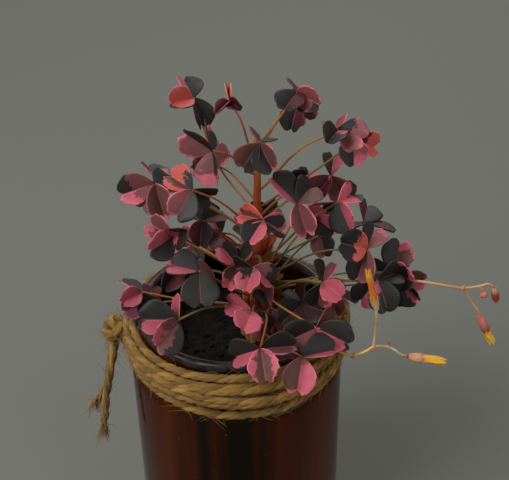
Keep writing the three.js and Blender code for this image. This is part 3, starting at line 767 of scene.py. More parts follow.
@dataclass(frozen=True)
class GrowthFinish:
    """The skin of stems, stalks and flowers: the mesh's own tints, with streaks along the growth."""

    name: str
    roughness: float
    streaks: float
    contrast: float
    depth: float
    specular: float = 0.4
    spots: float = 1400.0
    spot_contrast: float = 0.3
    spot_height: float = 0.4
    spot_dullness: float = 0.2

    def make(self) -> Material:
        """Makes the material.

        Returns:
            The material.
        """
        nodes = FinishNodes(self.name)
        grain = nodes.attribute("grain", "Vector")
        streak = nodes.speckle(self.streaks, 4.0, grain)
        spot = nodes.speckle(self.spots, 3.0)
        light = (streak - 0.5) * self.contrast + (spot - 0.5) * self.spot_contrast + 1.0
        nodes.close(
            nodes.shaded(nodes.attribute("tint"), light),
            ((spot - 0.5) * self.spot_dullness + self.roughness).clamped(),
            {"Specular IOR Level": self.specular},
            nodes.bump(streak + spot * self.spot_height, self.depth),
        )
        return nodes.material


@dataclass(frozen=True)
class GlassFinish:
    """Dark amber glass with the soil behind it: nearly black, with a painted glow of light through the wall,
    red brown where it is looked along, and a painted reflection on the lip.
    """

    name: str = "amber_glass"
    dark: Shade = (20, 8, 3)
    # The glass's amber, used as the painted glow of light through the wall.
    amber: Shade = (88, 32, 0)
    # The grey-violet of a painted reflection of the sky light on the lip.
    painted_rim_reflection: Shade = (66, 63, 66)
    dust: Shade = (190, 176, 160)
    # Where the painted glow lies: four corners round the jar, and upright bands.
    corners: float = 1422.0
    bands_round: float = 150.0
    bands_up: float = 6.0
    specks: float = 900.0
    smears: float = 60.0
    lip_drop: float = 2.4
    lip_soft: float = 1.2
    lip_grains: float = 240.0
    waves: float = 26.0
    wave_depth: float = 0.25

    def make(self) -> Material:
        """Makes the material.

        Returns:
            The material.
        """
        nodes = FinishNodes(self.name)
        place = nodes.place()
        x, y, height = nodes.parts(place)
        upright = {0: x * self.bands_round, 1: y * self.bands_round, 2: height * self.bands_up}
        # Painted light: the red brown glow of light through the wall is painted into the colour, at four
        # corners round the jar, where the surface is looked along, and in upright bands.
        band = nodes.speckle(1.0, 3.0, nodes.node("CombineXYZ", {}, upright))
        corner = (x * y * self.corners) ** 2.0
        facing = nodes.node("LayerWeight", {}, {"Blend": 0.5}, "Facing")
        painted_glow = (corner * 0.8 + facing * 0.15 + (band - 0.5) * 1.5 - 0.1).clamped()
        colour = nodes.mix(painted_glow * 0.85, linear(self.dark), linear(self.amber))
        speck = nodes.speckle(self.specks, 1.0).above(0.80, 0.02)
        smear = nodes.speckle(self.smears, 5.0, place)
        # Painted reflection: the lip is painted grey-violet in grains, standing in for the sky light that
        # reflects on it.
        lip = height.above((RIM - self.lip_drop) * MM, self.lip_soft * MM)
        lip = lip * nodes.speckle(self.lip_grains, 5.0).above(0.5, 0.3)
        rim_reflected = nodes.mix(lip * 0.75, colour, linear(self.painted_rim_reflection))
        nodes.close(
            nodes.mix(speck * 0.35, rim_reflected, linear(self.dust)),
            (smear * 0.16 + speck * 0.3 + lip * 0.22 + 0.03).clamped(),
            {"IOR": 1.5, "Specular IOR Level": 0.16},
            nodes.bump(nodes.speckle(self.waves, 2.0), self.wave_depth),
        )
        return nodes.material


@dataclass(frozen=True)
class SoilFinish:
    """Damp dark potting soil with pale grains."""

    name: str = "potting_soil"
    damp: Shade = (14, 10, 8)
    dry: Shade = (38, 28, 22)
    grit: Shade = (120, 108, 92)
    clods: float = 380.0
    clod_depth: float = 0.8
    grains: float = 1500.0
    roughness: float = 0.92

    def make(self) -> Material:
        """Makes the material.

        Returns:
            The material.
        """
        nodes = FinishNodes(self.name)
        clod = nodes.speckle(self.clods, 6.0)
        colour = nodes.mix(clod.above(0.56, 0.2), linear(self.damp), linear(self.dry))
        grit = nodes.speckle(self.grains, 1.0).above(0.78, 0.02)
        speckled = nodes.mix(grit * 0.7, colour, linear(self.grit))
        nodes.close(speckled, self.roughness, {"Specular IOR Level": 0.25}, nodes.bump(clod, self.clod_depth))
        return nodes.material


@dataclass(frozen=True)
class JuteFinish:
    """Jute: each ply's colour comes from the mesh, with fine fibres along it."""

    name: str = "jute"
    fibres: float = 8.0
    fibre_contrast: float = 2.0
    fibre_depth: float = 0.5
    patches: float = 110.0
    patch_contrast: float = 0.5
    brightness: float = 1.06
    roughness: float = 0.88

    def make(self) -> Material:
        """Makes the material.

        Returns:
            The material.
        """
        nodes = FinishNodes(self.name)
        grain = nodes.attribute("grain", "Vector")
        fibre = nodes.speckle(self.fibres, 5.0, grain)
        patch = nodes.speckle(self.patches, 2.0)
        light = (fibre - 0.5) * self.fibre_contrast + (patch - 0.5) * self.patch_contrast + self.brightness
        nodes.close(
            nodes.shaded(nodes.attribute("tint"), light),
            self.roughness,
            {"Specular IOR Level": 0.2, "Sheen Weight": 0.12, "Sheen Roughness": 0.6},
            nodes.bump(fibre, self.fibre_depth),
        )
        return nodes.material


@dataclass
class Strand:
    """One round strand: its route, its radius at each point and its tint at each point."""

    points: list[Vector]
    radii: list[float]
    tints: list[tuple[float, float, float, float]]
    offset: float = 0.0
    along: float = 0.12

    @staticmethod
    def blended(
        points: list[Vector],
        radii: tuple[float, ...],
        tints: tuple[tuple, ...],
        offset: float,
    ) -> Strand:
        """A strand whose radius and tint change evenly between a few values.

        Args:
            points: The route.
            radii: Radii at even parts of the route.
            tints: Colours at even parts of the route.
            offset: Where its grain starts, so that no two look alike.

        Returns:
            The strand.
        """
        count = len(points)
        parts = np.linspace(0, 1, count)
        radius = np.interp(parts, np.linspace(0, 1, len(radii)), radii)
        shades = np.array(tints)
        channels = [np.interp(parts, np.linspace(0, 1, len(tints)), shades[:, i]) for i in range(4)]
        return Strand(points, list(radius), list(zip(*channels)), offset)

    def tint_rings(self, sides: int) -> np.ndarray:
        """The tint of each point of its rings."""
        return np.repeat(np.array(self.tints), sides, axis=0)

    def grain_rings(self, sides: int) -> np.ndarray:
        """Where each point of its rings is, round the strand and along it.

        Args:
            sides: How many points a ring has.

        Returns:
            A vector for each point: its direction in two numbers, and its run.
        """
        run = measured(self.points)[1] * self.along + self.offset
        turns = np.linspace(0, 2 * math.pi, sides, endpoint=False)
        round_it = np.stack([np.cos(turns), np.sin(turns)], axis=1)
        return np.concatenate([np.tile(round_it, (len(run), 1)), np.repeat(run, sides)[:, None]], axis=1)


class Bench:
    """Adds primitives, shapes them in edit mode and finishes them with modifiers."""

    @staticmethod
    def only(piece: Piece) -> None:
        """Leaves one piece selected and active.

        Args:
            piece: The piece.
        """
        bpy.ops.object.select_all(action="DESELECT")
        piece.select_set(True)
        bpy.context.view_layer.objects.active = piece

    @staticmethod
    def added(name: str) -> Piece:
        """Names the primitive that was just added, and puts its place into its mesh.

        Args:
            name: Its name.

        Returns:
            The primitive.
        """
        piece = bpy.context.object
        bpy.ops.object.transform_apply(location=True, rotation=True, scale=True)
        piece.name = name
        piece.data.name = name
        return piece

    @staticmethod
    def copy(model: Piece, name: str) -> Piece:
        """A copy with a mesh of its own.

        Args:
            model: The piece to copy.
            name: The copy's name.

        Returns:
            The copy.
        """
        piece = model.copy()
        piece.data = model.data.copy()
        piece.name = name
        bpy.context.scene.collection.objects.link(piece)
        return piece

    @staticmethod
    def modify(piece: Piece, kind: str, **settings: object) -> None:
        """Adds a modifier and applies it.

        Args:
            piece: The piece.
            kind: The modifier's type.
            **settings: The modifier's own settings.
        """
        Bench.only(piece)
        made = piece.modifiers.new(kind.lower(), kind)
        for key, value in settings.items():
            setattr(made, key, value)
        bpy.ops.object.modifier_apply(modifier=made.name)

    @staticmethod
    def join(pieces: list[Piece], name: str) -> Piece:
        """Joins pieces into the first of them.

        Args:
            pieces: The pieces.
            name: The name of what they become.

        Returns:
            The joined piece.
        """
        bpy.ops.object.select_all(action="DESELECT")
        for piece in pieces:
            piece.select_set(True)
        bpy.context.view_layer.objects.active = pieces[0]
        if len(pieces) > 1:
            bpy.ops.object.join()
        pieces[0].name = name
        pieces[0].data.name = name
        return pieces[0]

    @staticmethod
    def drop(*pieces: Piece) -> None:
        """Removes pieces that were only moulds."""
        for piece in pieces:
            bpy.data.objects.remove(piece)

    @staticmethod
    def edit(piece: Piece, chosen: np.ndarray | None = None) -> None:
        """Opens a piece in edit mode with all its points selected, or only the chosen ones.

        Args:
            piece: The piece.
            chosen: True for each point to select, where it isn't all of them.
        """
        Bench.only(piece)
        if chosen is not None:
            bpy.ops.object.mode_set(mode="EDIT")
            bpy.ops.mesh.select_mode(type="VERT")
            bpy.ops.mesh.select_all(action="DESELECT")
            bpy.ops.object.mode_set(mode="OBJECT")
            piece.data.vertices.foreach_set("select", chosen)
        bpy.ops.object.mode_set(mode="EDIT")
        if chosen is None:
            bpy.ops.mesh.select_all(action="SELECT")

    @staticmethod
    def close_edit() -> None:
        """Goes back to object mode."""
        bpy.ops.object.mode_set(mode="OBJECT")

    @staticmethod
    def grid(name: str, columns: int, rows: int) -> Piece:
        """A flat grid two units wide and two long, to model a thin piece from.

        Args:
            name: The piece's name.
            columns: How many faces it has across.
            rows: How many faces it has along.

        Returns:
            The grid.
        """
        bpy.ops.object.select_all(action="DESELECT")
        bpy.ops.mesh.primitive_grid_add(x_subdivisions=columns, y_subdivisions=rows, size=2 * MM)
        return Bench.added(name)

    @staticmethod
    def lathe(name: str, outline: list[tuple[float, float]], sides: int) -> Piece:
        """A turned solid: a disc that is extruded up and resized at each point of its outline.

        Args:
            name: The piece's name.
            outline: Radius and height of each ring, from the foot's rim to the last ring.
            sides: How many sides the rings have.

        Returns:
            The solid, closed by the first and the last disc.
        """
        bpy.ops.object.select_all(action="DESELECT")
        radius, height = outline[0]
        foot = {"radius": radius * MM, "location": (0, 0, height * MM)}
        bpy.ops.mesh.primitive_circle_add(vertices=sides, fill_type="NGON", **foot)
        piece = Bench.added(name)
        Bench.edit(piece)
        for new_radius, new_height in outline[1:]:
            rise = (0, 0, (new_height - height) * MM)
            bpy.ops.mesh.extrude_region_move(TRANSFORM_OT_translate={"value": rise})
            factor = new_radius / radius
            bpy.ops.transform.resize(value=(factor, factor, 1), center_override=(0, 0, new_height * MM))
            radius, height = new_radius, new_height
        bpy.ops.mesh.select_all(action="SELECT")
        bpy.ops.mesh.normals_make_consistent(inside=False)
        Bench.close_edit()
        return piece

    @staticmethod
    def strands(name: str, strands: list[Strand], corners: int) -> Piece:
        """Round strands along their routes, as one mesh with its tints and its grain.

        Args:
            name: The piece's name.
            strands: The strands.
            corners: Steps of roundness: 4 sides and 2 more for each.

        Returns:
            The mesh.
        """
        curve = bpy.data.curves.new(name, "CURVE")
        curve.dimensions = "3D"
        curve.bevel_depth = MM
        curve.bevel_resolution = corners
        for strand in strands:
            spline = curve.splines.new("POLY")
            spline.points.add(len(strand.points) - 1)
            for knot, point, radius in zip(spline.points, strand.points, strand.radii):
                knot.co = (*(point * MM), 1.0)
                knot.radius = radius
        piece = bpy.data.objects.new(name, curve)
        bpy.context.scene.collection.objects.link(piece)
        Bench.only(piece)
        bpy.ops.object.convert(target="MESH")
        sides = 4 + 2 * corners
        Bench.paint(piece, "tint", np.concatenate([strand.tint_rings(sides) for strand in strands]))
        Bench.paint(piece, "grain", np.concatenate([strand.grain_rings(sides) for strand in strands]))
        Bench.edit(piece)
        bpy.ops.mesh.fill_holes(sides=sides)
        Bench.close_edit()
        Bench.smooth(piece)
        return piece

    @staticmethod
    def smooth(piece: Piece, angle: float = 60.0) -> None:
        """Shades a piece smooth up to an angle in degrees."""
        Bench.only(piece)
        bpy.ops.object.shade_smooth_by_angle(angle=math.radians(angle))

    @staticmethod
    def paint(piece: Piece, name: str, values: np.ndarray) -> None:
        """Gives each corner of a mesh's faces, or each point, a colour or a vector.

        Args:
            piece: The piece.
            name: What the finishes read the values by.
            values: A row for each corner or point: four numbers for a colour, three for a vector.
        """
        mesh = piece.data
        domain = "POINT" if len(values) == len(mesh.vertices) else "CORNER"
        is_colour = values.shape[1] == 4
        kind, field = ("FLOAT_COLOR", "color") if is_colour else ("FLOAT_VECTOR", "vector")
        layer = mesh.attributes.new(name, kind, domain)
        layer.data.foreach_set(field, np.ascontiguousarray(values, np.float32).ravel())

    @staticmethod
    def points(piece: Piece) -> np.ndarray:
        """The places of a mesh's points.

        Args:
            piece: The piece.

        Returns:
            A row for each point, in millimetres.
        """
        found = np.zeros(len(piece.data.vertices) * 3, np.float32)
        piece.data.vertices.foreach_get("co", found)
        return found.reshape(-1, 3).astype(float) / MM

    @staticmethod
    def set_points(piece: Piece, places: np.ndarray) -> None:
        """Moves a mesh's points to places in millimetres."""
        piece.data.vertices.foreach_set("co", (places * MM).astype(np.float32).ravel())
        piece.data.update()

    @staticmethod
    def dress(piece: Piece, *materials: Material) -> None:
        """Gives a piece its materials.

        Args:
            piece: The piece.
            *materials: The materials, in the order that its faces count them.
        """
        piece.data.materials.clear()
        for material in materials:
            piece.data.materials.append(material)


def keep(piece: Piece, slot: str, *nodes: str) -> Piece:
    """Fixes a finished piece to the part, hides the nodes that it replaces and logs its faces.

    Args:
        piece: The piece.
        slot: Not used.
        *nodes: The nodes that it replaces.

    Returns:
        The piece.
    """
    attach(piece, ROOT)
    if nodes:
        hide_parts(*nodes)
    log.info("%s: %d faces", piece.name, len(piece.data.polygons))
    return piece


@dataclass(frozen=True)
class JarShape:
    """The jar's outline. Each drop is measured down from the rim."""

    height: float = RIM
    body: float = 37.5
    wall: float = 3.3
    floor: float = 6.0
    heel: float = 4.0
    neck: float = 34.2
    mouth: float = 30.2
    neck_drop: float = 16.0
    shoulder_drop: float = 24.0
    inner_late: float = 3.0
    sides: int = 128
    arc_steps: int = 8

    def outer_radius(self, drop: float) -> float:
        """The radius of the outside, so far below the rim."""
        return self._widened(self.neck, self.body, drop, self.shoulder_drop)

    def inner_radius(self, drop: float) -> float:
        """The radius of the inside, so far below the rim."""
        return self._widened(self.mouth, self.body - self.wall, drop, self.shoulder_drop + self.inner_late)

    def _widened(self, narrow: float, wide: float, drop: float, bottom: float) -> float:
        """A radius on the slope from the neck out to the body, so far below the rim."""
        part = min(max((drop - self.neck_drop) / (bottom - self.neck_drop), 0.0), 1.0)
        return narrow + (wide - narrow) * part * part * (3 - 2 * part)

    def outline(self) -> list[tuple[float, float]]:
        """Works out the jar's rings, up the outside, over the lip and down the inside.

        Returns:
            Radius and height of each ring.
        """
        quarter = [math.pi / 2 * i / self.arc_steps for i in range(self.arc_steps + 1)]
        turn_in = self.body - self.heel
        heel = [(turn_in + self.heel * math.sin(a), self.heel * (1 - math.cos(a))) for a in quarter]
        lip = (self.neck - self.mouth) / 2
        drops = [self.shoulder_drop - i for i in range(int(self.shoulder_drop - lip) + 1)]
        side = [(self.outer_radius(drop), self.height - drop) for drop in drops]
        half = [math.pi * i / (2 * self.arc_steps) for i in range(2 * self.arc_steps + 1)]
        middle = self.neck - lip
        over = [(middle + lip * math.cos(a), self.height - lip + lip * math.sin(a)) for a in half]
        down = [lip + 1 + i for i in range(int(self.shoulder_drop + self.inner_late - lip))]
        inside = [(self.inner_radius(drop), self.height - drop) for drop in down]
        deep = self.body - self.wall
        corner = [(deep, self.floor + 3), (deep - 1, self.floor + 1), (deep - 3, self.floor)]
        return [*heel, *side, *over, *inside, *corner]


JAR = JarShape()


@dataclass(frozen=True)
class Jar:
    """The amber glass jar, with the slight unevenness of blown glass."""

    uneven: float = 0.12
    waves: float = 0.05

    def make(self) -> Piece:
        """Turns the jar and makes its wall uneven.

        Returns:
            The jar.
        """
        jar = Bench.lathe("jar", JAR.outline(), JAR.sides)
        places = Bench.points(jar)
        lens = [noise.noise(Vector(place) * self.waves) * self.uneven for place in places]
        reach = np.hypot(places[:, 0], places[:, 1])
        places[:, :2] *= (1 + np.array(lens) / np.maximum(reach, 1.0))[:, None]
        Bench.set_points(jar, places)
        Bench.smooth(jar, 50.0)
        Bench.dress(jar, GlassFinish().make())
        return keep(jar, "amber_glass", "glass_jar")


@dataclass(frozen=True)
class Soil:
    """The potting soil, lumpy on top and scattered with crumbs."""

    edge_drop: float = 18.0
    middle_drop: float = 16.0
    gap: float = 0.3
    rings: int = 22
    sides: int = 96
    lump: float = 1.3
    lumps: float = 0.28
    crumbs: int = 170
    crumb: tuple[float, float] = (0.35, 1.1)
    dent: float = 0.45
    dents: float = 1.3

    def height(self, x: float, y: float) -> float:
        """The soil's height at a place.

        Args:
            x: The place's X.
            y: The place's Y.

        Returns:
            The height of the lumpy top there.
        """
        reach = min(math.hypot(x, y) / JAR.mouth, 1.0)
        mound = self.middle_drop + (self.edge_drop - self.middle_drop) * reach**2
        rough = noise.fractal(Vector((x, y, 0.0)) * self.lumps, 1.0, 2.0, 5) * self.lump
        return RIM - mound + rough

    def make(self) -> Piece:
        """Makes the soil body with its crumbs.

        Returns:
            The soil.
        """
        deep = JAR.body - JAR.wall - self.gap
        foot = JAR.floor + self.gap
        neck = JAR.mouth - self.gap
        shoulder = RIM - JAR.shoulder_drop
        side = [(deep - 4, foot), (deep, foot + 4), (deep, shoulder - 5), (neck, shoulder)]
        top = [(neck * (1 - i / self.rings) + 0.2, RIM - self.edge_drop) for i in range(self.rings + 1)]
        body = Bench.lathe("soil_body", [*side, *top], self.sides)
        places = Bench.points(body)
        for place in places:
            if place[2] > RIM - self.edge_drop - 0.1:
                place[2] = self.height(place[0], place[1])
        Bench.set_points(body, places)
        soil = Bench.join([body, *self._crumbs()], "soil")
        Bench.smooth(soil)
        Bench.dress(soil, SoilFinish().make())
        return keep(soil, "soil", "potting_soil")

    def _crumbs(self) -> list[Piece]:
        """Makes small lumps lying on the soil.

        Returns:
            The lumps.
        """
        chance = random.Random(SEED)
        bpy.ops.object.select_all(action="DESELECT")
        bpy.ops.mesh.primitive_ico_sphere_add(subdivisions=2, radius=MM)
        mould = Bench.added("crumb")
        shape = Bench.points(mould)
        made = []
        for number in range(self.crumbs):
            reach = (JAR.mouth - 1.8) * math.sqrt(chance.random())
            angle = chance.uniform(0, 2 * math.pi)
            x, y = reach * math.cos(angle), reach * math.sin(angle)
            size = chance.uniform(*self.crumb)
            shift = Vector((number, 0, 0))
            dents = [1 + self.dent * noise.noise(Vector(point) * self.dents + shift) for point in shape]
            flat = np.array([chance.uniform(0.8, 1.3), chance.uniform(0.8, 1.2), chance.uniform(0.5, 0.9)])
            crumb = Bench.copy(mould, f"crumb_{number}")
            lift = np.array([x, y, self.height(x, y) + size * 0.2])
            Bench.set_points(crumb, shape * flat * size * np.array(dents)[:, None] + lift)
            made.append(crumb)
        Bench.drop(mould)
        return made


@dataclass(frozen=True)
class Stem:
    """The woody crown and the main stem, grown of many stems side by side."""

    x: float = 8.3
    y: float = 3.0
    heights: tuple[float, ...] = (-19.5, -13, -6, 2, 12, 20, 27, 34, 48, 61, 62.5)
    radii: tuple[float, ...] = (6.5, 6.6, 5.8, 4.8, 4.0, 3.0, 1.9, 1.4, 1.2, 1.05, 0.6)
    rust: Shade = (182, 80, 32)
    gold: Shade = (206, 132, 62)
    pale: Shade = (216, 164, 108)
    wine: Shade = (172, 66, 34)
    foot: float = -19.5
    core_top: float = 62.3
    core_radius: float = 3.4
    core_sway: float = 0.35
    core_turn: float = 0.13
    side_stems: int = 13
    side_foot: float = -19.0
    side_top: tuple[float, float] = (3, 30)
    side_radius: tuple[float, float] = (1.05, 1.75)
    side_twist: float = 0.035
    scales: int = 64
    scale_foot: tuple[float, float] = (-14, 19)
    scale_length: tuple[float, float] = (4.5, 9.5)
    scale_width: tuple[float, float] = (1.4, 2.6)
    scale_thick: float = 0.12
    scale_shades: tuple[Shade, ...] = (
        (186, 130, 84), (164, 88, 48), (204, 164, 122), (138, 66, 34), (176, 76, 36),
    )

    def radius(self, height: float) -> float:
        """The whole bundle's radius, so far above the rim."""
        return float(np.interp(height, self.heights, self.radii))

    def start(self, height: float, toward: Vector, radius: float, gap: float) -> Vector:
        """Where a stalk leaves the stem, on the side that faces its far end.

        Args:
            height: The height above the rim.
            toward: The stalk's far end.
            radius: The stalk's radius.
            gap: How far apart the two surfaces are.

        Returns:
            The place of the stalk's middle.
        """
        away = Vector((toward.x - self.x, toward.y - self.y)).normalized()
        reach = self.radius(height) + radius + gap
        return Vector((self.x + away.x * reach, self.y + away.y * reach, RIM + height))

    def _around(self, height: float, reach: float, angle: float) -> Vector:
        """A point at a height, so far from the stem's middle."""
        return Vector((self.x + reach * math.cos(angle), self.y + reach * math.sin(angle), RIM + height))

    def make(self) -> Piece:
        """Makes the stems and the papery scales at their feet.

        Returns:
            The stem.
        """
        chance = random.Random(SEED)
        rust, gold, pale, wine = map(linear, (self.rust, self.gold, self.pale, self.wine))
        heights = np.linspace(self.foot, self.core_top, 46)
        middle = [self._around(height, self.core_sway, height * self.core_turn) for height in heights]
        core = Strand.blended(middle, (1.0,), (rust, rust, wine, gold), 0.0)
        core.radii = [min(self.radius(place.z - RIM), self.core_radius) for place in middle]
        strands = [core]
        barks = ((rust, gold, gold), (pale, rust, gold), (wine, rust, rust), (gold, pale, gold))
        for number in range(self.side_stems):
            angle = 2 * math.pi * number / self.side_stems + chance.uniform(-0.2, 0.2)
            thick = chance.uniform(*self.side_radius)
            top = chance.uniform(*self.side_top)
            twist = chance.uniform(-self.side_twist, self.side_twist)
            route = []
            for height in np.linspace(self.side_foot, top, 22):
                reach = max(self.radius(height) - thick * chance.uniform(0.85, 1.0), 0.5)
                route.append(self._around(height, reach, angle + twist * (height - self.side_foot)))
            radii = (thick, thick, thick * 0.9, 0.7)
            strands.append(Strand.blended(route, radii, chance.choice(barks), 7.0 * number))
        stems = Bench.strands("stems", strands, 4)
        Bench.dress(stems, GrowthFinish("stem_bark", 0.6, 3.0, 1.0, 0.3).make())
        stem = Bench.join([stems, *self._scales(chance)], "stem")
        return keep(stem, "stem", "crown_and_main_stem")

    def _scales(self, chance: random.Random) -> list[Piece]:
        """Makes dry papery scales that clasp the stems.

        Args:
            chance: Where their differences come from.

        Returns:
            The scales.
        """
        mould = Bench.grid("scale", 6, 8)
        Bench.dress(mould, GrowthFinish("papery_scale", 0.75, 9.0, 1.1, 0.15).make())
        grid = Bench.points(mould)
        across, along = grid[:, 0], (grid[:, 1] + 1) / 2
        made = []
        for number in range(self.scales):
            height = chance.uniform(*self.scale_foot)
            length, width = chance.uniform(*self.scale_length), chance.uniform(*self.scale_width)
            angle = chance.uniform(0, 2 * math.pi)
            wide = width * np.sqrt(np.maximum(np.sin(math.pi * (0.12 + 0.86 * along)), 0.02))
            reach = self.radius(height) * 0.93 + 0.25 + 1.3 * along**2 * chance.uniform(0.2, 3.4)
            turn = angle + across * wide / np.maximum(reach, 1.5) + chance.uniform(-0.3, 0.3) * along
            x = self.x + reach * np.cos(turn)
            y = self.y + reach * np.sin(turn)
            crinkle = 0.25 * np.sin(across * 9 + number) * along
            scale = Bench.copy(mould, f"scale_{number}")
            Bench.set_points(scale, np.stack([x + crinkle, y, RIM + height + along * length], axis=1))
            Bench.paint(scale, "tint", np.tile(linear(chance.choice(self.scale_shades)), (len(grid), 1)))
            Bench.paint(scale, "grain", np.stack([across * 2, along * 0.4, along * 0 + number], axis=1))
            Bench.modify(scale, "SOLIDIFY", thickness=self.scale_thick * MM)
            Bench.smooth(scale)
            made.append(scale)
        Bench.drop(mould)
        return made


STEM = Stem()


@dataclass(frozen=True)
class BladeAxes:
    """The directions of one leaflet: along it, across each half, and towards the eye."""

    along: Vector
    left: Vector
    right: Vector
    facing: Vector

    @staticmethod
    def of(hub: Vector, depth: float, length: float, row: Leaflet) -> BladeAxes:
        """Works out a leaflet's directions.

        Args:
            hub: Where its foot is.
            depth: The depth of its leaf.
            length: Its real length.
            row: Its row of the table.

        Returns:
            The directions.
        """
        flat = SIGHT.seen_at(row.tip_x, row.tip_y, depth) - hub
        to_eye = (SIGHT.eye() - hub).normalized()
        flat -= to_eye * flat.dot(to_eye)
        seen = min(flat.length, length * 0.995) / length
        along = flat.normalized() * seen + to_eye * (row.lean * math.sqrt(1 - seen * seen))
        facing = (to_eye - along * to_eye.dot(along)).normalized()
        aside = facing.cross(along)
        left = BladeAxes._raised(aside, facing, row.fold + row.turn)
        right = BladeAxes._raised(-aside, facing, row.fold - row.turn)
        return BladeAxes(along, left, right, facing)

    @staticmethod
    def _raised(aside: Vector, facing: Vector, angle: float) -> Vector:
        """A direction across, raised towards the eye by an angle in degrees."""
        return aside * math.cos(math.radians(angle)) + facing * math.sin(math.radians(angle))


class LeafletMould:
    """The flat leaflet, one unit long with its foot at the origin, that every leaflet is copied from."""

    COLUMNS = 20
    ROWS = 20
    WIDE_AT = (0.0, 0.05, 0.15, 0.28, 0.42, 0.56, 0.70, 0.82, 0.92, 1.0)
    WIDE = (0.03, 0.12, 0.265, 0.40, 0.50, 0.56, 0.58, 0.57, 0.53, 0.46)
    REACH_AT = (0.0, 0.06, 0.15, 0.3, 0.5, 0.7, 0.86, 1.0)
    REACH = (0.925, 0.955, 1.005, 1.05, 1.055, 1.01, 0.945, 0.88)
    THICK = 0.28
    LOBE_DROOP = 0.10
    LOBE_RISE = 0.05
    TIP_DROOP = 0.07
    RIPPLE = 0.020
    RIPPLES = 9
    TWIST = 0.035
    FRILL = 0.016
    FRILLS = 11
    MARGIN = 0.2
    PINK_CUT = 0.11
    DARK_CUT = 0.01
    CUTS = 2.6

    def __init__(self) -> None:
        """Models the flat leaflet: a grid, widened row by row and notched column by column."""
        self.piece = Bench.grid("leaflet", self.COLUMNS, self.ROWS)
        grid = Bench.points(self.piece)
        self.across = grid[:, 0].copy()
        self.along = (grid[:, 1] + 1) / 2
        Bench.edit(self.piece)
        bpy.ops.transform.translate(value=(0, MM, 0))
        bpy.ops.transform.resize(value=(1, 0.5, 1), center_override=(0, 0, 0))
        Bench.close_edit()
        for place in np.unique(self.along.round(4)):
            wide = float(np.interp(place, self.WIDE_AT, self.WIDE))
            self._resize(np.isclose(self.along, place, atol=1e-3), (wide, 1, 1))
        for place in np.unique(self.across.round(4)):
            reach = float(np.interp(abs(place), self.REACH_AT, self.REACH))
            self._resize(np.isclose(self.across, place, atol=1e-3), (1, reach, 1))
        Bench.smooth(self.piece, 80.0)
        self.shape = Bench.points(self.piece)
        mesh = self.piece.data
        self.corners = np.zeros(len(mesh.loops), int)
        mesh.loops.foreach_get("vertex_index", self.corners)
        middles = self.across[self.corners].reshape(-1, 4).mean(axis=1)
        self.is_left = np.repeat(middles < 0, 4)

    def _resize(self, chosen: np.ndarray, value: Triple) -> None:
        """Resizes one row or column of points about the foot.

        Args:
            chosen: True for each of its points.
            value: The factors in X, Y and Z.
        """
        Bench.edit(self.piece, chosen)
        bpy.ops.transform.resize(value=value, center_override=(0, 0, 0))
        Bench.close_edit()

    def copy(
        self,
        name: str,
        hub: Vector,
        leaf: Leaf,
        row: Leaflet,
        chance: random.Random,
    ) -> Piece:
        """One leaflet in its place, curved a little and coloured.

        Args:
            name: Its name.
            hub: Where its foot is.
            leaf: Its leaf's row of the table.
            row: Its own row.
            chance: Where its small differences come from.

        Returns:
            The leaflet, thick and closed.
        """
        axes = BladeAxes.of(hub, leaf.hub[2], leaf.length, row)
        piece = Bench.copy(self.piece, name)
        side = np.abs(self.shape[:, 0])[:, None]
        halves = np.where(self.across[:, None] < 0, np.array(axes.left), np.array(axes.right))
        facing = np.array(axes.facing)
        lobes = np.abs(self.across)
        cup = (self.LOBE_RISE * lobes - self.LOBE_DROOP * lobes**2) * self.along
        cup = cup - self.TIP_DROOP * self.along**2
        ripple = self.RIPPLE * np.sin(self.along * self.RIPPLES + chance.uniform(0, 6)) * lobes**2
        ripple = ripple + chance.uniform(-self.TWIST, self.TWIST) * self.across * self.along
        edge = np.clip((np.maximum(lobes, self.along) - (1 - self.MARGIN)) / self.MARGIN, 0, 1)
        ripple = ripple + self.FRILL * np.sin(self.across * self.FRILLS + chance.uniform(0, 6)) * edge
        cut = self._scallops(row, edge, chance)[:, None]
        flat = side * halves * cut + self.shape[:, 1:2] * np.array(axes.along) * cut
        places = flat + (cup + ripple)[:, None] * facing
        Bench.set_points(piece, np.array(hub) + places * leaf.length)
        self._colour(piece, row, chance)
        walls = {"offset": -1.0, "material_offset": 1, "use_even_offset": False}
        Bench.modify(piece, "SOLIDIFY", thickness=self.THICK * MM, **walls)
        return piece

    def _scallops(self, row: Leaflet, edge: np.ndarray, chance: random.Random) -> np.ndarray:
        """How much of its reach each point of the margin keeps. Pink margins are cut back most.

        Args:
            row: The leaflet's row of the table.
            edge: How near each point is to the margin, from 0 to 1.
            chance: Where its small differences come from.

        Returns:
            A factor for each point.
        """
        pink = {Tone.PINK, Tone.CORAL, Tone.PALE_CORAL}
        depths = []
        for look in (row.left, row.right):
            field, other, lay, unused = look.value
            outer = field if lay in (Lay.FOOT, Lay.RIB) else other
            depths.append(self.PINK_CUT if outer in pink else self.DARK_CUT)
        depth = np.where(self.across < 0, depths[0], depths[1])
        shift = chance.uniform(0, 9)
        round_it = np.arctan2(self.shape[:, 0], self.shape[:, 1] - 0.5)
        cut = np.array([abs(noise.noise(Vector((turn * self.CUTS, shift, 0.0)))) for turn in round_it])
        return 1 - depth * cut * 1.6 * edge

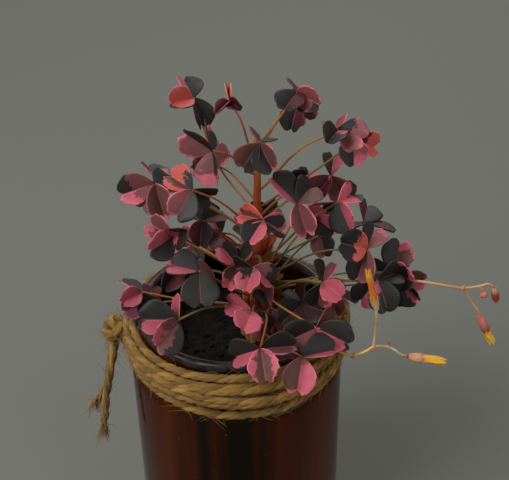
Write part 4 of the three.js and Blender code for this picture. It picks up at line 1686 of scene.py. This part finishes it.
    def _colour(self, piece: Piece, row: Leaflet, chance: random.Random) -> None:
        """Lays out the two colours of each half.

        Args:
            piece: The leaflet.
            row: Its row of the table.
            chance: Where its brightness comes from.
        """
        lobes = np.abs(self.across)[self.corners]
        along = self.along[self.corners]
        inside = 1 - np.maximum(lobes, along)
        reach = {Lay.RIM: inside * 1.6, Lay.TIP: 1 - along, Lay.FOOT: along, Lay.RIB: lobes}
        luck = chance.random()
        halves = []
        for look in (row.left, row.right):
            field, other, lay, share = look.value
            ends = [np.tile(linear(tone.value), (len(lobes), 1)) for tone in (field, other)]
            zone = np.stack([reach[lay], lobes * 0 + share, lobes * 0 + luck], axis=1)
            halves.append((*ends, zone))
        chosen = self.is_left[:, None]
        for name, left, right in zip(("field", "other", "zone"), *halves):
            Bench.paint(piece, name, np.where(chosen, left, right))


class Foliage:
    """All the leaves: each a slender stalk with three notched leaflets."""

    STALK_RADIUS = 0.5
    STALK_RADII = (0.6, 0.45, 0.38, 0.34, 0.45)
    GAP = 0.3
    SUNK = 1.5
    FOOT_DIP = Vector((0, 0, 0.8))
    BEND_AT = 0.55
    BEND_RISE = Vector((0, 0, 2))
    STEPS = 12

    def __init__(self) -> None:
        """Makes the mould and the finishes that all the leaves share."""
        self.mould = LeafletMould()
        self.upper = LeafFinish("leaf_upper", 0.07, 0.5).make(underside=False)
        self.under = LeafFinish("leaf_under", 0.08, 0.6).make(underside=True)
        self.stalk = GrowthFinish("leaf_stalk", 0.5, 2.2, 0.7, 0.1).make()
        Bench.dress(self.mould.piece, self.upper, self.under)
        self.chance = random.Random(SEED)

    def stalk_route(self, leaf: Leaf, hub: Vector) -> list[Vector]:
        """The route of a leaf's stalk, from inside the stem to its hub.

        Args:
            leaf: The leaf's row of the table.
            hub: Where its leaflets meet.

        Returns:
            The points of the route.
        """
        start = STEM.start(leaf.foot, hub, self.STALK_RADIUS, self.GAP)
        bend = SIGHT.seen_at(*leaf.via) if leaf.via else start.lerp(hub, self.BEND_AT) + self.BEND_RISE
        sunk = STEM.start(leaf.foot, hub, self.STALK_RADIUS, self.GAP - self.SUNK)
        return smooth_route([sunk - self.FOOT_DIP, start, bend, hub], self.STEPS)

    def make(self) -> None:
        """Makes every leaf."""
        for number, leaf in enumerate(LEAVES, 1):
            hub = SIGHT.seen_at(*leaf.hub)
            leaflets = [
                self.mould.copy(f"blade_{number}_{i}", hub, leaf, row, self.chance)
                for i, row in enumerate(leaf.leaflets)
            ]
            tone = linear(leaf.stalk.value)
            tints = (linear(Tone.RUST.value), tone, tone, tone)
            strand = Strand.blended(self.stalk_route(leaf, hub), self.STALK_RADII, tints, number * 5.0)
            stalk = Bench.strands(f"petiole_{number}", [strand], 2)
            Bench.dress(stalk, self.stalk)
            piece = Bench.join([*leaflets, stalk], f"oxalis_leaf_{number:02d}")
            keep(piece, "leaf", f"leaf_{number:02d}")
        Bench.drop(self.mould.piece)


PEACH = linear((214, 168, 124))
TAN = linear((196, 140, 78))
CREAM = linear((216, 200, 158))
OLIVE_GREEN = linear((132, 122, 62))
RED_BROWN = linear((150, 62, 40))
PINKISH = linear((206, 120, 108))
YELLOW = linear((236, 178, 52))
LEMON = linear((244, 206, 92))
ORANGE = linear((222, 120, 34))


@dataclass(frozen=True)
class FlowerStalk:
    """A flower stalk: its main route and its short branches, each with its tints, and its small bracts.

    The places are a pixel across, a pixel down and a depth.
    """

    name: str
    node: str
    foot: float
    routes: tuple[tuple[Triple, ...], ...]
    tints: tuple[tuple[tuple, ...], ...]
    bracts: tuple[Triple, ...]
    radius: float = 0.48
    thin: float = 0.38
    gap: float = 0.3
    sunk: float = 1.6
    bract_rises: tuple[float, ...] = (-0.9, -0.4, 0.0, 0.5, 1.5)
    bract_radii: tuple[float, ...] = (0.45, 0.72, 0.74, 0.5, 0.12)
    bract_lean: float = 0.25

    def make(self, finish: Material) -> Piece:
        """Makes the stalk with its branches and bracts.

        Args:
            finish: Its skin.

        Returns:
            The stalk.
        """
        strands = []
        for number, (route, tints) in enumerate(zip(self.routes, self.tints)):
            points = [SIGHT.seen_at(*place) for place in route]
            radii = (self.thin, self.thin, self.thin * 1.25)
            if number == 0:
                start = STEM.start(self.foot, points[0], self.radius, self.gap - self.sunk)
                points = [start, *points]
                radii = (self.radius * 1.1, self.radius, self.radius * 0.92, self.thin, self.thin * 1.2)
            strands.append(Strand.blended(smooth_route(points, len(points) * 6), radii, tints, number * 3.0))
        for place in self.bracts:
            middle = SIGHT.seen_at(*place)
            up = Vector((self.bract_lean, 0.0, 1.0))
            bulge = [middle + up * rise for rise in self.bract_rises]
            strands.append(Strand.blended(bulge, self.bract_radii, (PINKISH, TAN), 2.0))
        stalk = Bench.strands(self.name, strands, 2)
        Bench.dress(stalk, finish)
        return keep(stalk, "stalk", self.node)


LONG_STALK = FlowerStalk(
    "long_stalk",
    "flower_stalk_long",
    -5.0,
    (
        ((318, 279, 2), (350, 280, 1), (384, 282, -4), (415, 281, -10), (448, 286, -12), (463, 288, -12),
         (480, 286, -12), (488, 284, -12), (493.6, 286.5, -12)),
        ((463, 288, -12), (471, 301, -12), (478, 311, -12), (479.8, 315.5, -12)),
        ((478, 286.3, -12), (481, 288.5, -12), (482.3, 290.8, -12)),
    ),
    ((TAN, PEACH, PEACH, TAN, PEACH, PINKISH), (TAN, PEACH, PINKISH), (PEACH, PINKISH)),
    ((463, 288, -12),),
)
LOW_STALK = FlowerStalk(
    "low_stalk",
    "flower_stalk_low",
    -8.0,
    (
        ((312, 330, -22), (342, 353, -27.5), (354, 355, -28), (366, 351, -28), (373, 347, -28),
         (381, 346, -28), (388, 347, -28), (394, 349.5, -28), (401, 354.5, -28), (407, 356, -28)),
        ((373, 347, -28), (375.5, 332, -28), (376.6, 317, -28), (376.4, 308, -28)),
        ((388, 347, -28), (389, 342.6, -28)),
    ),
    ((TAN, TAN, LEMON, TAN, CREAM, OLIVE_GREEN), (CREAM, TAN, CREAM), (CREAM, RED_BROWN)),
    ((353, 356, -28), (374, 347, -28)),
)


@dataclass(frozen=True)
class ClosedFlower:
    """A closed flower or a bud: rolled petals with five ridges, held by five sepals."""

    name: str
    node: str
    slot: str
    foot: Triple
    tip: Triple
    radii: tuple[float, ...]
    petals: tuple[tuple, ...]
    sepals: tuple[tuple, ...]
    reach: float = 0.46
    twist: float = 2.2
    ridge: float = 0.16
    rings: int = 22
    sides: int = 40
    ragged: float = 0.0
    count: int = 5
    sepal_width: float = 0.78
    sepal_gap: float = 0.16
    sepal_flare: float = 0.10
    sepal_thick: float = 0.18

    def make(self, petal: Material, sepal: Material) -> Piece:
        """Makes the flower, in the petals' and the sepals' skins."""
        parts = [self._roll(petal), *self._sepals(sepal)]
        return keep(Bench.join(parts, self.name), self.slot, self.node)

    def _axis(self) -> Vector:
        """The way from the flower's foot to its tip."""
        return SIGHT.seen_at(*self.tip) - SIGHT.seen_at(*self.foot)

    def _radius(self, part: np.ndarray | float) -> np.ndarray:
        """The roll's radius at a part of its length."""
        return np.interp(part, np.linspace(0, 1, len(self.radii)), self.radii)

    def _stand(self, places: np.ndarray) -> np.ndarray:
        """Turns places about Z to places about the flower's own line."""
        turn = np.array(self._axis().to_track_quat("Z", "Y").to_matrix())
        return places @ turn.T + np.array(SIGHT.seen_at(*self.foot))

    @staticmethod
    def _tint(
        piece: Piece,
        tints: tuple[tuple, ...],
        part: np.ndarray,
        side: np.ndarray,
    ) -> None:
        """Colours a piece along its length, with its grain round it.

        Args:
            piece: The roll or a sepal.
            tints: Colours at even parts of its length.
            part: How far along it each point is, from 0 to 1.
            side: How far round it each point is, in radians.
        """
        shades = np.array(tints)
        at = np.linspace(0, 1, len(tints))
        Bench.paint(piece, "tint", np.stack([np.interp(part, at, shades[:, i]) for i in range(4)], axis=1))
        Bench.paint(piece, "grain", np.stack([np.cos(side), np.sin(side), part * 0.6], axis=1))

    def _roll(self, finish: Material) -> Piece:
        """Makes the rolled petals.

        Args:
            finish: The petals' skin.

        Returns:
            The roll, closed inside its ragged end.
        """
        length = self._axis().length
        parts = [i / self.rings for i in range(self.rings + 1)]
        outline = [(float(self._radius(part)), part * length) for part in parts]
        hollow = (outline[-1][0] * 0.55, length * 0.95)
        roll = Bench.lathe(self.name + "_roll", [*outline, hollow], self.sides)
        places = Bench.points(roll)
        side = np.arctan2(places[:, 1], places[:, 0])
        part = np.clip(places[:, 2] / length, 0, 1)
        groove = np.abs(np.sin(self.count / 2 * (side + self.twist * part)))
        places[:, :2] *= (1 + self.ridge * part**0.6 * (1 - 2 * groove))[:, None]
        end = np.clip((part - 0.8) / 0.2, 0, 1)
        places[:, 2] += end * self.ragged * np.sin(self.count * side + 1.3 * np.cos(2 * side))
        Bench.set_points(roll, self._stand(places))
        self._tint(roll, self.petals, part, side + self.twist * part)
        Bench.dress(roll, finish)
        Bench.smooth(roll)
        return roll

    def _sepals(self, finish: Material) -> list[Piece]:
        """Makes the five sepals round the foot.

        Args:
            finish: The sepals' skin.

        Returns:
            The sepals.
        """
        length = self._axis().length
        mould = Bench.grid("sepal", 6, 10)
        Bench.dress(mould, finish)
        grid = Bench.points(mould)
        across, along = grid[:, 0], (grid[:, 1] + 1) / 2
        made = []
        for number in range(self.count):
            part = along * self.reach - 0.02
            wide = self.sepal_width * np.sqrt(np.clip(np.sin(math.pi * (0.16 + 0.83 * along)), 0.004, 1))
            side = 2 * math.pi * number / self.count + across * wide
            reach = self._radius(part) + self.sepal_gap + self.sepal_flare * along
            places = np.stack([reach * np.cos(side), reach * np.sin(side), part * length], axis=1)
            sepal = Bench.copy(mould, f"sepal_{number}")
            Bench.set_points(sepal, self._stand(places))
            self._tint(sepal, self.sepals, along, side * 2)
            Bench.modify(sepal, "SOLIDIFY", thickness=self.sepal_thick * MM)
            Bench.smooth(sepal)
            made.append(sepal)
        Bench.drop(mould)
        return made


OPEN_ROLL = (0.7, 1.15, 1.35, 1.4, 1.3, 1.25, 1.35, 1.4, 1.35, 1.15)
SLIM_ROLL = (0.65, 1.05, 1.2, 1.15, 1.0, 0.95, 1.0, 1.05, 0.95, 0.7)
BUD_ROLL = (0.45, 0.85, 1.05, 1.1, 1.0, 0.75, 0.4)
FLOWERS = (
    ClosedFlower("hanging_flower", "flower_hanging", "petal", (480, 316.5, -12), (491.5, 342, -12), OPEN_ROLL,
                 (ORANGE, ORANGE, YELLOW, LEMON), (PINKISH, PINKISH, RED_BROWN), 0.55, ragged=0.5),
    ClosedFlower("upright_flower", "flower_upright", "petal", (376.3, 308.3, -28), (368, 271, -28), SLIM_ROLL,
                 (ORANGE, ORANGE, ORANGE, YELLOW), (CREAM, PEACH, TAN), 0.36, twist=3.2, ragged=0.9),
    ClosedFlower("side_flower", "flower_side", "petal", (408.5, 356.4, -28), (444, 361.5, -28), OPEN_ROLL,
                 (ORANGE, YELLOW, YELLOW, YELLOW), (PINKISH, PEACH, PINKISH), 0.42, twist=0.8, ragged=0.6),
    ClosedFlower("large_bud", "bud_large", "bud", (494.3, 287.8, -12), (496.3, 303, -12), BUD_ROLL,
                 (RED_BROWN, RED_BROWN, ORANGE), (PEACH, RED_BROWN, RED_BROWN), 0.8, rings=12, sides=30),
    ClosedFlower("small_bud", "bud_small", "bud", (482.6, 291.8, -12), (484.8, 297, -12), BUD_ROLL,
                 (PINKISH, RED_BROWN, PINKISH), (PINKISH, PINKISH, RED_BROWN), 0.85, rings=10, sides=30),
)


JUTE_TINTS = ((158, 117, 50), (176, 132, 60), (140, 102, 42), (190, 152, 84))


@dataclass(frozen=True)
class Twist:
    """How three plies are laid into one twine."""

    ply: float = 0.90
    reach: float = 0.56
    lay: float = 11.0
    step: float = 0.85
    count: int = 3
    along: float = 0.35
    slow_waves: float = 0.09
    fast_waves: float = 0.5

    def plies(self, route: list[Vector], chance: random.Random, opening: float = 0.0) -> list[Strand]:
        """The three plies along a twine's middle.

        Args:
            route: The twine's middle, at even steps.
            chance: Where its unevenness comes from.
            opening: How far the plies part towards the end.

        Returns:
            The plies.
        """
        places, run = measured(route)
        ahead = np.gradient(places, axis=0)
        ahead /= np.linalg.norm(ahead, axis=1)[:, None]
        up = np.array([0.0, 0.0, 1.0]) - ahead * ahead[:, 2:3]
        flat = np.linalg.norm(up, axis=1)[:, None]
        up = np.where(flat > 0.3, up / np.maximum(flat, 0.3), np.array([0.0, 1.0, 0.0]))
        aside = np.cross(ahead, up)
        part = run / run[-1]
        made = []
        for number in range(self.count):
            slow = np.array([noise.noise(Vector((s * self.slow_waves, number * 7.0, 1.0))) for s in run])
            fast = np.array([noise.noise(Vector((s * self.fast_waves, number * 9.0, 5.0))) for s in run])
            turn = 2 * math.pi * (run / (self.lay * (1 + opening * 2)) + number / self.count) + slow * 0.8
            reach = self.reach * (1 + opening * part) * (1 + 0.1 * fast)
            middle = places + (reach * np.cos(turn))[:, None] * aside + (reach * np.sin(turn))[:, None] * up
            radius = self.ply * (1 + 0.16 * slow + 0.12 * fast) * (1 - 0.35 * opening * part)
            shade = np.array(linear(JUTE_TINTS[number]))
            light = 1 + 0.35 * slow + 0.12 * fast
            tints = np.concatenate([shade[:3] * light[:, None], np.ones((len(run), 1))], axis=1)
            points = [Vector(place) for place in middle]
            shades = [tuple(tint) for tint in tints]
            made.append(Strand(points, list(radius), shades, chance.uniform(0, 50), self.along))
        return made

    def evened(self, route: list[Vector]) -> list[Vector]:
        """A route with its points moved to even steps.

        Args:
            route: Any points along it.

        Returns:
            Points one step apart.
        """
        places, run = measured(route)
        steps = np.arange(0, run[-1], self.step)
        even = np.stack([np.interp(steps, run, places[:, i]) for i in range(3)], axis=1)
        return [Vector(place) for place in even]


@dataclass(frozen=True)
class Fuzz:
    """Loose fibres that stand off a twine."""

    radius: float = 0.055
    shortest: float = 1.2
    longest: float = 6.0
    steps: int = 4

    def around(
        self,
        route: list[Vector],
        count: int,
        chance: random.Random,
        spread: float = 1.3,
    ) -> list[Strand]:
        """Fibres that start on a twine and stray off it.

        Args:
            route: The twine's middle.
            count: How many fibres.
            chance: Where they come from.
            spread: How far from the middle they start, in millimetres.

        Returns:
            The fibres.
        """
        made = []
        for number in range(count):
            at = chance.randrange(1, len(route) - 1)
            ahead = (route[at + 1] - route[at - 1]).normalized()
            if chance.random() < 0.5:
                ahead = -ahead
            away = Vector([chance.gauss(0, 1) for unused in range(3)])
            away = (away - ahead * away.dot(ahead)).normalized()
            length = self.shortest + (self.longest - self.shortest) * chance.random() ** 2
            lift = chance.uniform(0.15, 0.8)
            curl = Vector([chance.gauss(0, 0.3) for unused in range(3)])
            points = []
            for step in range(self.steps + 1):
                run = length * step / self.steps
                place = route[at] + away * (spread + run * lift)
                points.append(place + ahead * run + curl * (step * step / 8))
            shade = linear(chance.choice(JUTE_TINTS))
            radii = (self.radius, self.radius, self.radius * 0.4)
            made.append(Strand.blended(points, radii, (shade, shade), float(number % 40)))
        return made


@dataclass(frozen=True)
class Winding:
    """The twine wound round the neck: six turns side by side, and three more that cross over them."""

    turns: int = 6
    crossings: int = 3
    start: float = 180.0
    top: float = 2.4
    points_a_turn: int = 90
    full: float = 25.0
    bunch: tuple[float, float] = (5.0, 15.0)
    right: float = 18.5
    cross: tuple[float, ...] = (-6.0, 4.6, -1.2)
    hub: float = 9.6
    width: float = 3.0
    second_layer: float = 2.7
    wander: float = 0.35
    layers_apart: float = 2.3
    wander_waves: float = 5.1
    crossing_begins: float = 0.12
    crossing_climb: float = 1.9
    layer_change: float = 0.16

    def place(self, turn: float) -> Vector:
        """The twine's middle after so many turns.

        The turns are bunched at the knot, less so at the side away from it, and spread at the front and the
        back. Turns too close to lie side by side lie in two layers. The last ones swing over the others.

        Args:
            turn: How many turns from the start.

        Returns:
            The place.
        """
        angle = 2 * math.pi * turn + math.radians(self.start)
        near = (0.5 + 0.5 * math.cos(2 * math.pi * turn)) ** 2
        far = (0.5 - 0.5 * math.cos(2 * math.pi * turn)) ** 2
        first = self.top + (self.bunch[0] - self.top) * near
        last = self.full + (self.bunch[1] - self.full) * near + (self.right - self.full) * far
        wander = noise.noise(Vector((turn * self.wander_waves, 3.0, 0.0))) * self.wander
        inner = min(turn / self.turns, 1.0)
        drop = first + (last - first) * inner + wander
        pitch = (last - first) / self.turns
        rise = math.sqrt(max(self.width**2 - pitch**2, 0.0)) * self._odd(turn)
        reach = JAR.outer_radius(drop) + self.width / 2 + min(rise, self.layers_apart) + wander * 0.3
        if turn > self.turns:
            late = turn - self.turns
            share = min(late / self.crossing_begins, 1.0)
            share = share * share * (3 - 2 * share)
            width = self.cross[min(int(late), len(self.cross) - 1)]
            swing = width * (0.5 - 0.5 * math.cos(2 * math.pi * late))
            over = self.hub - swing - self.top + self.crossing_climb * late + wander
            drop += (over - drop) * share
            outer = JAR.outer_radius(drop) + self.width / 2 + self.second_layer + 0.5 * math.sin(late * 9)
            reach += (outer - reach) * share
        return Vector((reach * math.cos(angle), reach * math.sin(angle), RIM - drop))

    def _odd(self, turn: float) -> float:
        """Says how far a turn lies in the second layer: every other one does.

        Args:
            turn: How many turns from the start.

        Returns:
            1 in the second layer and 0 in the first, changing at the side away from the knot.
        """
        count = math.floor(turn + 0.5)
        into = (turn + 0.5 - count) / self.layer_change
        now = count % 2
        return now if into >= 1 else (1 - now) + (2 * now - 1) * into * into * (3 - 2 * into)

    def route(self) -> list[Vector]:
        """The twine's middle from end to end."""
        count = (self.turns + self.crossings) * self.points_a_turn
        return [self.place(step / self.points_a_turn) for step in range(count + 1)]


@dataclass(frozen=True)
class Twine:
    """The jute twine: its winding, its knot and its two hanging ends.

    The sizes of the knot's loop and of its wrap are towards the jar, across and up.
    """

    winding: Winding = Winding()
    twist: Twist = Twist()
    fuzz: Fuzz = Fuzz()
    knot_reach: float = 42.0
    knot_angle: float = 182.0
    knot_drop: float = 9.5
    loop: Triple = (1.9, 1.3, 1.35)
    loop_set_in: float = 0.6
    loop_steps: int = 150
    wrap: Triple = (2.6, 3.4, 3.6)
    wrap_set_out: float = 0.7
    wrap_turns: float = 2.3
    wrap_steps: int = 120
    wound_fibres: int = 4400
    knot_fibres: int = 170
    end_fibres: int = 120
    opening: float = 0.45
    fray: int = 34
    fray_spread: float = 0.22
    fray_scatter: float = 0.32
    fray_length: tuple[float, float] = (3.0, 7.2)
    fray_radii: tuple[float, ...] = (0.13, 0.1, 0.05)
    front: tuple[Triple, ...] = (
        (-0.4, -1.9, -4.9), (-1.4, -2.1, -9), (-4.0, -2.2, -20), (-6.2, -2.2, -31), (-8.4, -2.4, -46),
    )
    back: tuple[Triple, ...] = (
        (-0.8, 1.9, -4.9), (-2.2, 2.2, -10), (-4.2, 3.0, -20), (-5.4, 3.4, -27), (-8.0, 3.6, -33),
        (-11.2, 3.6, -38.2),
    )

    def middle(self) -> Vector:
        """Works out where the knot is.

        Returns:
            The middle of the knot.
        """
        angle = math.radians(self.knot_angle)
        x, y = self.knot_reach * math.cos(angle), self.knot_reach * math.sin(angle)
        return Vector((x, y, RIM - self.knot_drop))

    def make(self) -> None:
        """Makes the winding with its fuzz and knot, and the two ends."""
        chance = random.Random(SEED)
        finish = JuteFinish().make()
        route = self.winding.route()
        even = self.twist.evened(route)
        wound = Bench.strands("wound_twine", self.twist.plies(even, chance), 1)
        fibres = Bench.strands("twine_fuzz", self.fuzz.around(even, self.wound_fibres, chance), 0)
        knot = self._knot(chance)
        for piece in (wound, fibres, knot):
            Bench.dress(piece, finish)
        keep(wound, "jute", "twine_winding")
        keep(fibres, "jute")
        keep(knot, "jute", "twine_knot")
        self._declare(wound, route)
        for name, node, offsets in (
            ("front_end", "twine_end_front", self.front),
            ("back_end", "twine_end_back", self.back),
        ):
            points = [self.middle() + Vector(offset) for offset in offsets]
            route = self.twist.evened(smooth_route(points, 40))
            piece, fray = self._end(name, route, chance)
            Bench.dress(piece, finish)
            Bench.dress(fray, finish)
            keep(piece, "jute", node)
            keep(fray, "jute")
            self._declare(piece, route)

    def _declare(self, piece: Piece, route: list[Vector]) -> None:
        """Logs a piece's real length of twine.

        Args:
            piece: The piece.
            route: Its middle from end to end.
        """
        length = sum((b - a).length for a, b in zip(route, route[1:]))
        path = [tuple(point * MM) for point in route[:: 3 if len(route) > 100 else 1]]
        log.info("%s: %.0f mm of twine", piece.name, length)

    def _knot(self, chance: random.Random) -> Piece:
        """Makes the knot: a loop that goes over and under itself, with a short wrap round it.

        Args:
            chance: Where its unevenness comes from.

        Returns:
            The knot with its fibres.
        """
        turn = Matrix.Rotation(math.radians(self.knot_angle - 180), 3, "Z")
        route = []
        for step in range(self.loop_steps):
            t = 2 * math.pi * step / self.loop_steps
            deep = math.sin(3 * t) * self.loop[0] + self.loop_set_in
            aside = (math.sin(t) + 2 * math.sin(2 * t)) * self.loop[1]
            up = (math.cos(t) - 2 * math.cos(2 * t)) * self.loop[2]
            route.append(self.middle() + turn @ Vector((deep, aside, up)))
        route.append(route[0].copy())
        wrap = []
        for step in range(self.wrap_steps):
            part = step / self.wrap_steps
            t = 2 * math.pi * self.wrap_turns * part
            deep = self.wrap[0] * math.cos(t) - self.wrap_set_out
            up = self.wrap[2] * (part - 0.45) + 0.5 * math.sin(t)
            wrap.append(self.middle() + turn @ Vector((deep, self.wrap[1] * math.sin(t), up)))
        plies = []
        tuft = []
        for run in (self.twist.evened(route), self.twist.evened(wrap)):
            plies += self.twist.plies(run, chance)
            tuft += self.fuzz.around(run, self.knot_fibres, chance, 1.2)
        loops = Bench.strands("knot_loops", plies, 1)
        return Bench.join([loops, Bench.strands("knot_tuft", tuft, 0)], "knot")

    def _end(self, name: str, route: list[Vector], chance: random.Random) -> list[Piece]:
        """Makes one hanging end and the fibres that its plies come apart into.

        Args:
            name: Its name.
            route: Its middle, from the knot down.
            chance: Where its unevenness comes from.

        Returns:
            The end and its fibres.
        """
        plies = self.twist.plies(route, chance, opening=self.opening)
        fray = []
        for ply in plies:
            tip, before = ply.points[-1], ply.points[-6]
            ahead = (tip - before).normalized()
            for unused in range(self.fray):
                spread = Vector([chance.gauss(0, self.fray_spread) for unused in range(3)])
                start = tip + Vector([chance.gauss(0, self.fray_scatter) for unused in range(3)])
                start -= ahead * chance.uniform(1, 5)
                length = chance.uniform(*self.fray_length)
                points = [start + (ahead + spread * (step / 4)) * (length * step / 4) for step in range(5)]
                shade = linear(chance.choice(JUTE_TINTS))
                fray.append(Strand.blended(points, self.fray_radii, (shade, shade), chance.uniform(0, 40)))
            left = range(len(ply.radii), 0, -1)
            ply.radii = [radius * min(1.0, 0.25 + 0.11 * steps) for radius, steps in zip(ply.radii, left)]
        loose = self.fuzz.around(route, self.end_fibres, chance, 1.0)
        return [Bench.strands(name, plies, 1), Bench.strands(name + "_fray", fray + loose, 0)]


@dataclass(frozen=True)
class Lamp:
    """One soft light: where it stands in metres, how wide it is and how strong."""

    name: str
    place: Triple
    size: float
    power: float


@dataclass(frozen=True)
class Studio:
    """A plain pale floor and soft light."""

    lamps: tuple[Lamp, ...] = (
        Lamp("key", (-0.55, -0.35, 0.85), 0.55, 7.0),
        Lamp("fill", (0.8, -0.6, 0.5), 0.8, 2.0),
        Lamp("back", (0.2, 0.8, 0.8), 0.7, 3.5),
    )
    floor: Shade = (118, 118, 112)
    air: float = 0.6
    width: float = 8.0

    def make(self) -> None:
        """Makes the floor, the lamps and the air."""
        bpy.ops.object.select_all(action="DESELECT")
        bpy.ops.mesh.primitive_plane_add(size=self.width)
        ground = Bench.added("floor")
        Bench.edit(ground)
        bpy.ops.mesh.subdivide(number_cuts=3)
        Bench.close_edit()
        nodes = FinishNodes("floor")
        nodes.close(linear(self.floor), 0.9, {"Specular IOR Level": 0.1})
        Bench.dress(ground, nodes.material)
        for lamp in self.lamps:
            data = bpy.data.lights.new(lamp.name, "AREA")
            data.size = lamp.size
            data.energy = lamp.power
            light = bpy.data.objects.new(lamp.name, data)
            light.location = lamp.place
            aim = Vector((0, 0, RIM * MM)) - Vector(lamp.place)
            light.rotation_euler = aim.to_track_quat("-Z", "Y").to_euler()
            bpy.context.scene.collection.objects.link(light)
        world = bpy.data.worlds.new("air")
        world.use_nodes = True
        world.node_tree.nodes["Background"].inputs["Color"].default_value = (0.5, 0.5, 0.5, 1.0)
        world.node_tree.nodes["Background"].inputs["Strength"].default_value = self.air
        bpy.context.scene.world = world
        bpy.context.scene.view_settings.view_transform = "Standard"


def main() -> None:
    """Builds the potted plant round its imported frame."""
    logging.basicConfig(level=logging.INFO, format="%(name)s %(message)s")
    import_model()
    SIGHT.set_camera()
    Twine().make()
    Studio().make()
    Jar().make()
    Soil().make()
    STEM.make()
    Foliage().make()
    skin = GrowthFinish("stalk_skin", 0.5, 2.0, 0.5, 0.1).make()
    LONG_STALK.make(skin)
    LOW_STALK.make(skin)
    petal = GrowthFinish("petal_skin", 0.5, 2.6, 0.9, 0.2).make()
    sepal = GrowthFinish("sepal_skin", 0.55, 3.4, 1.2, 0.2).make()
    for flower in FLOWERS:
        flower.make(petal, sepal)


if __name__ == "__main__":
    main()
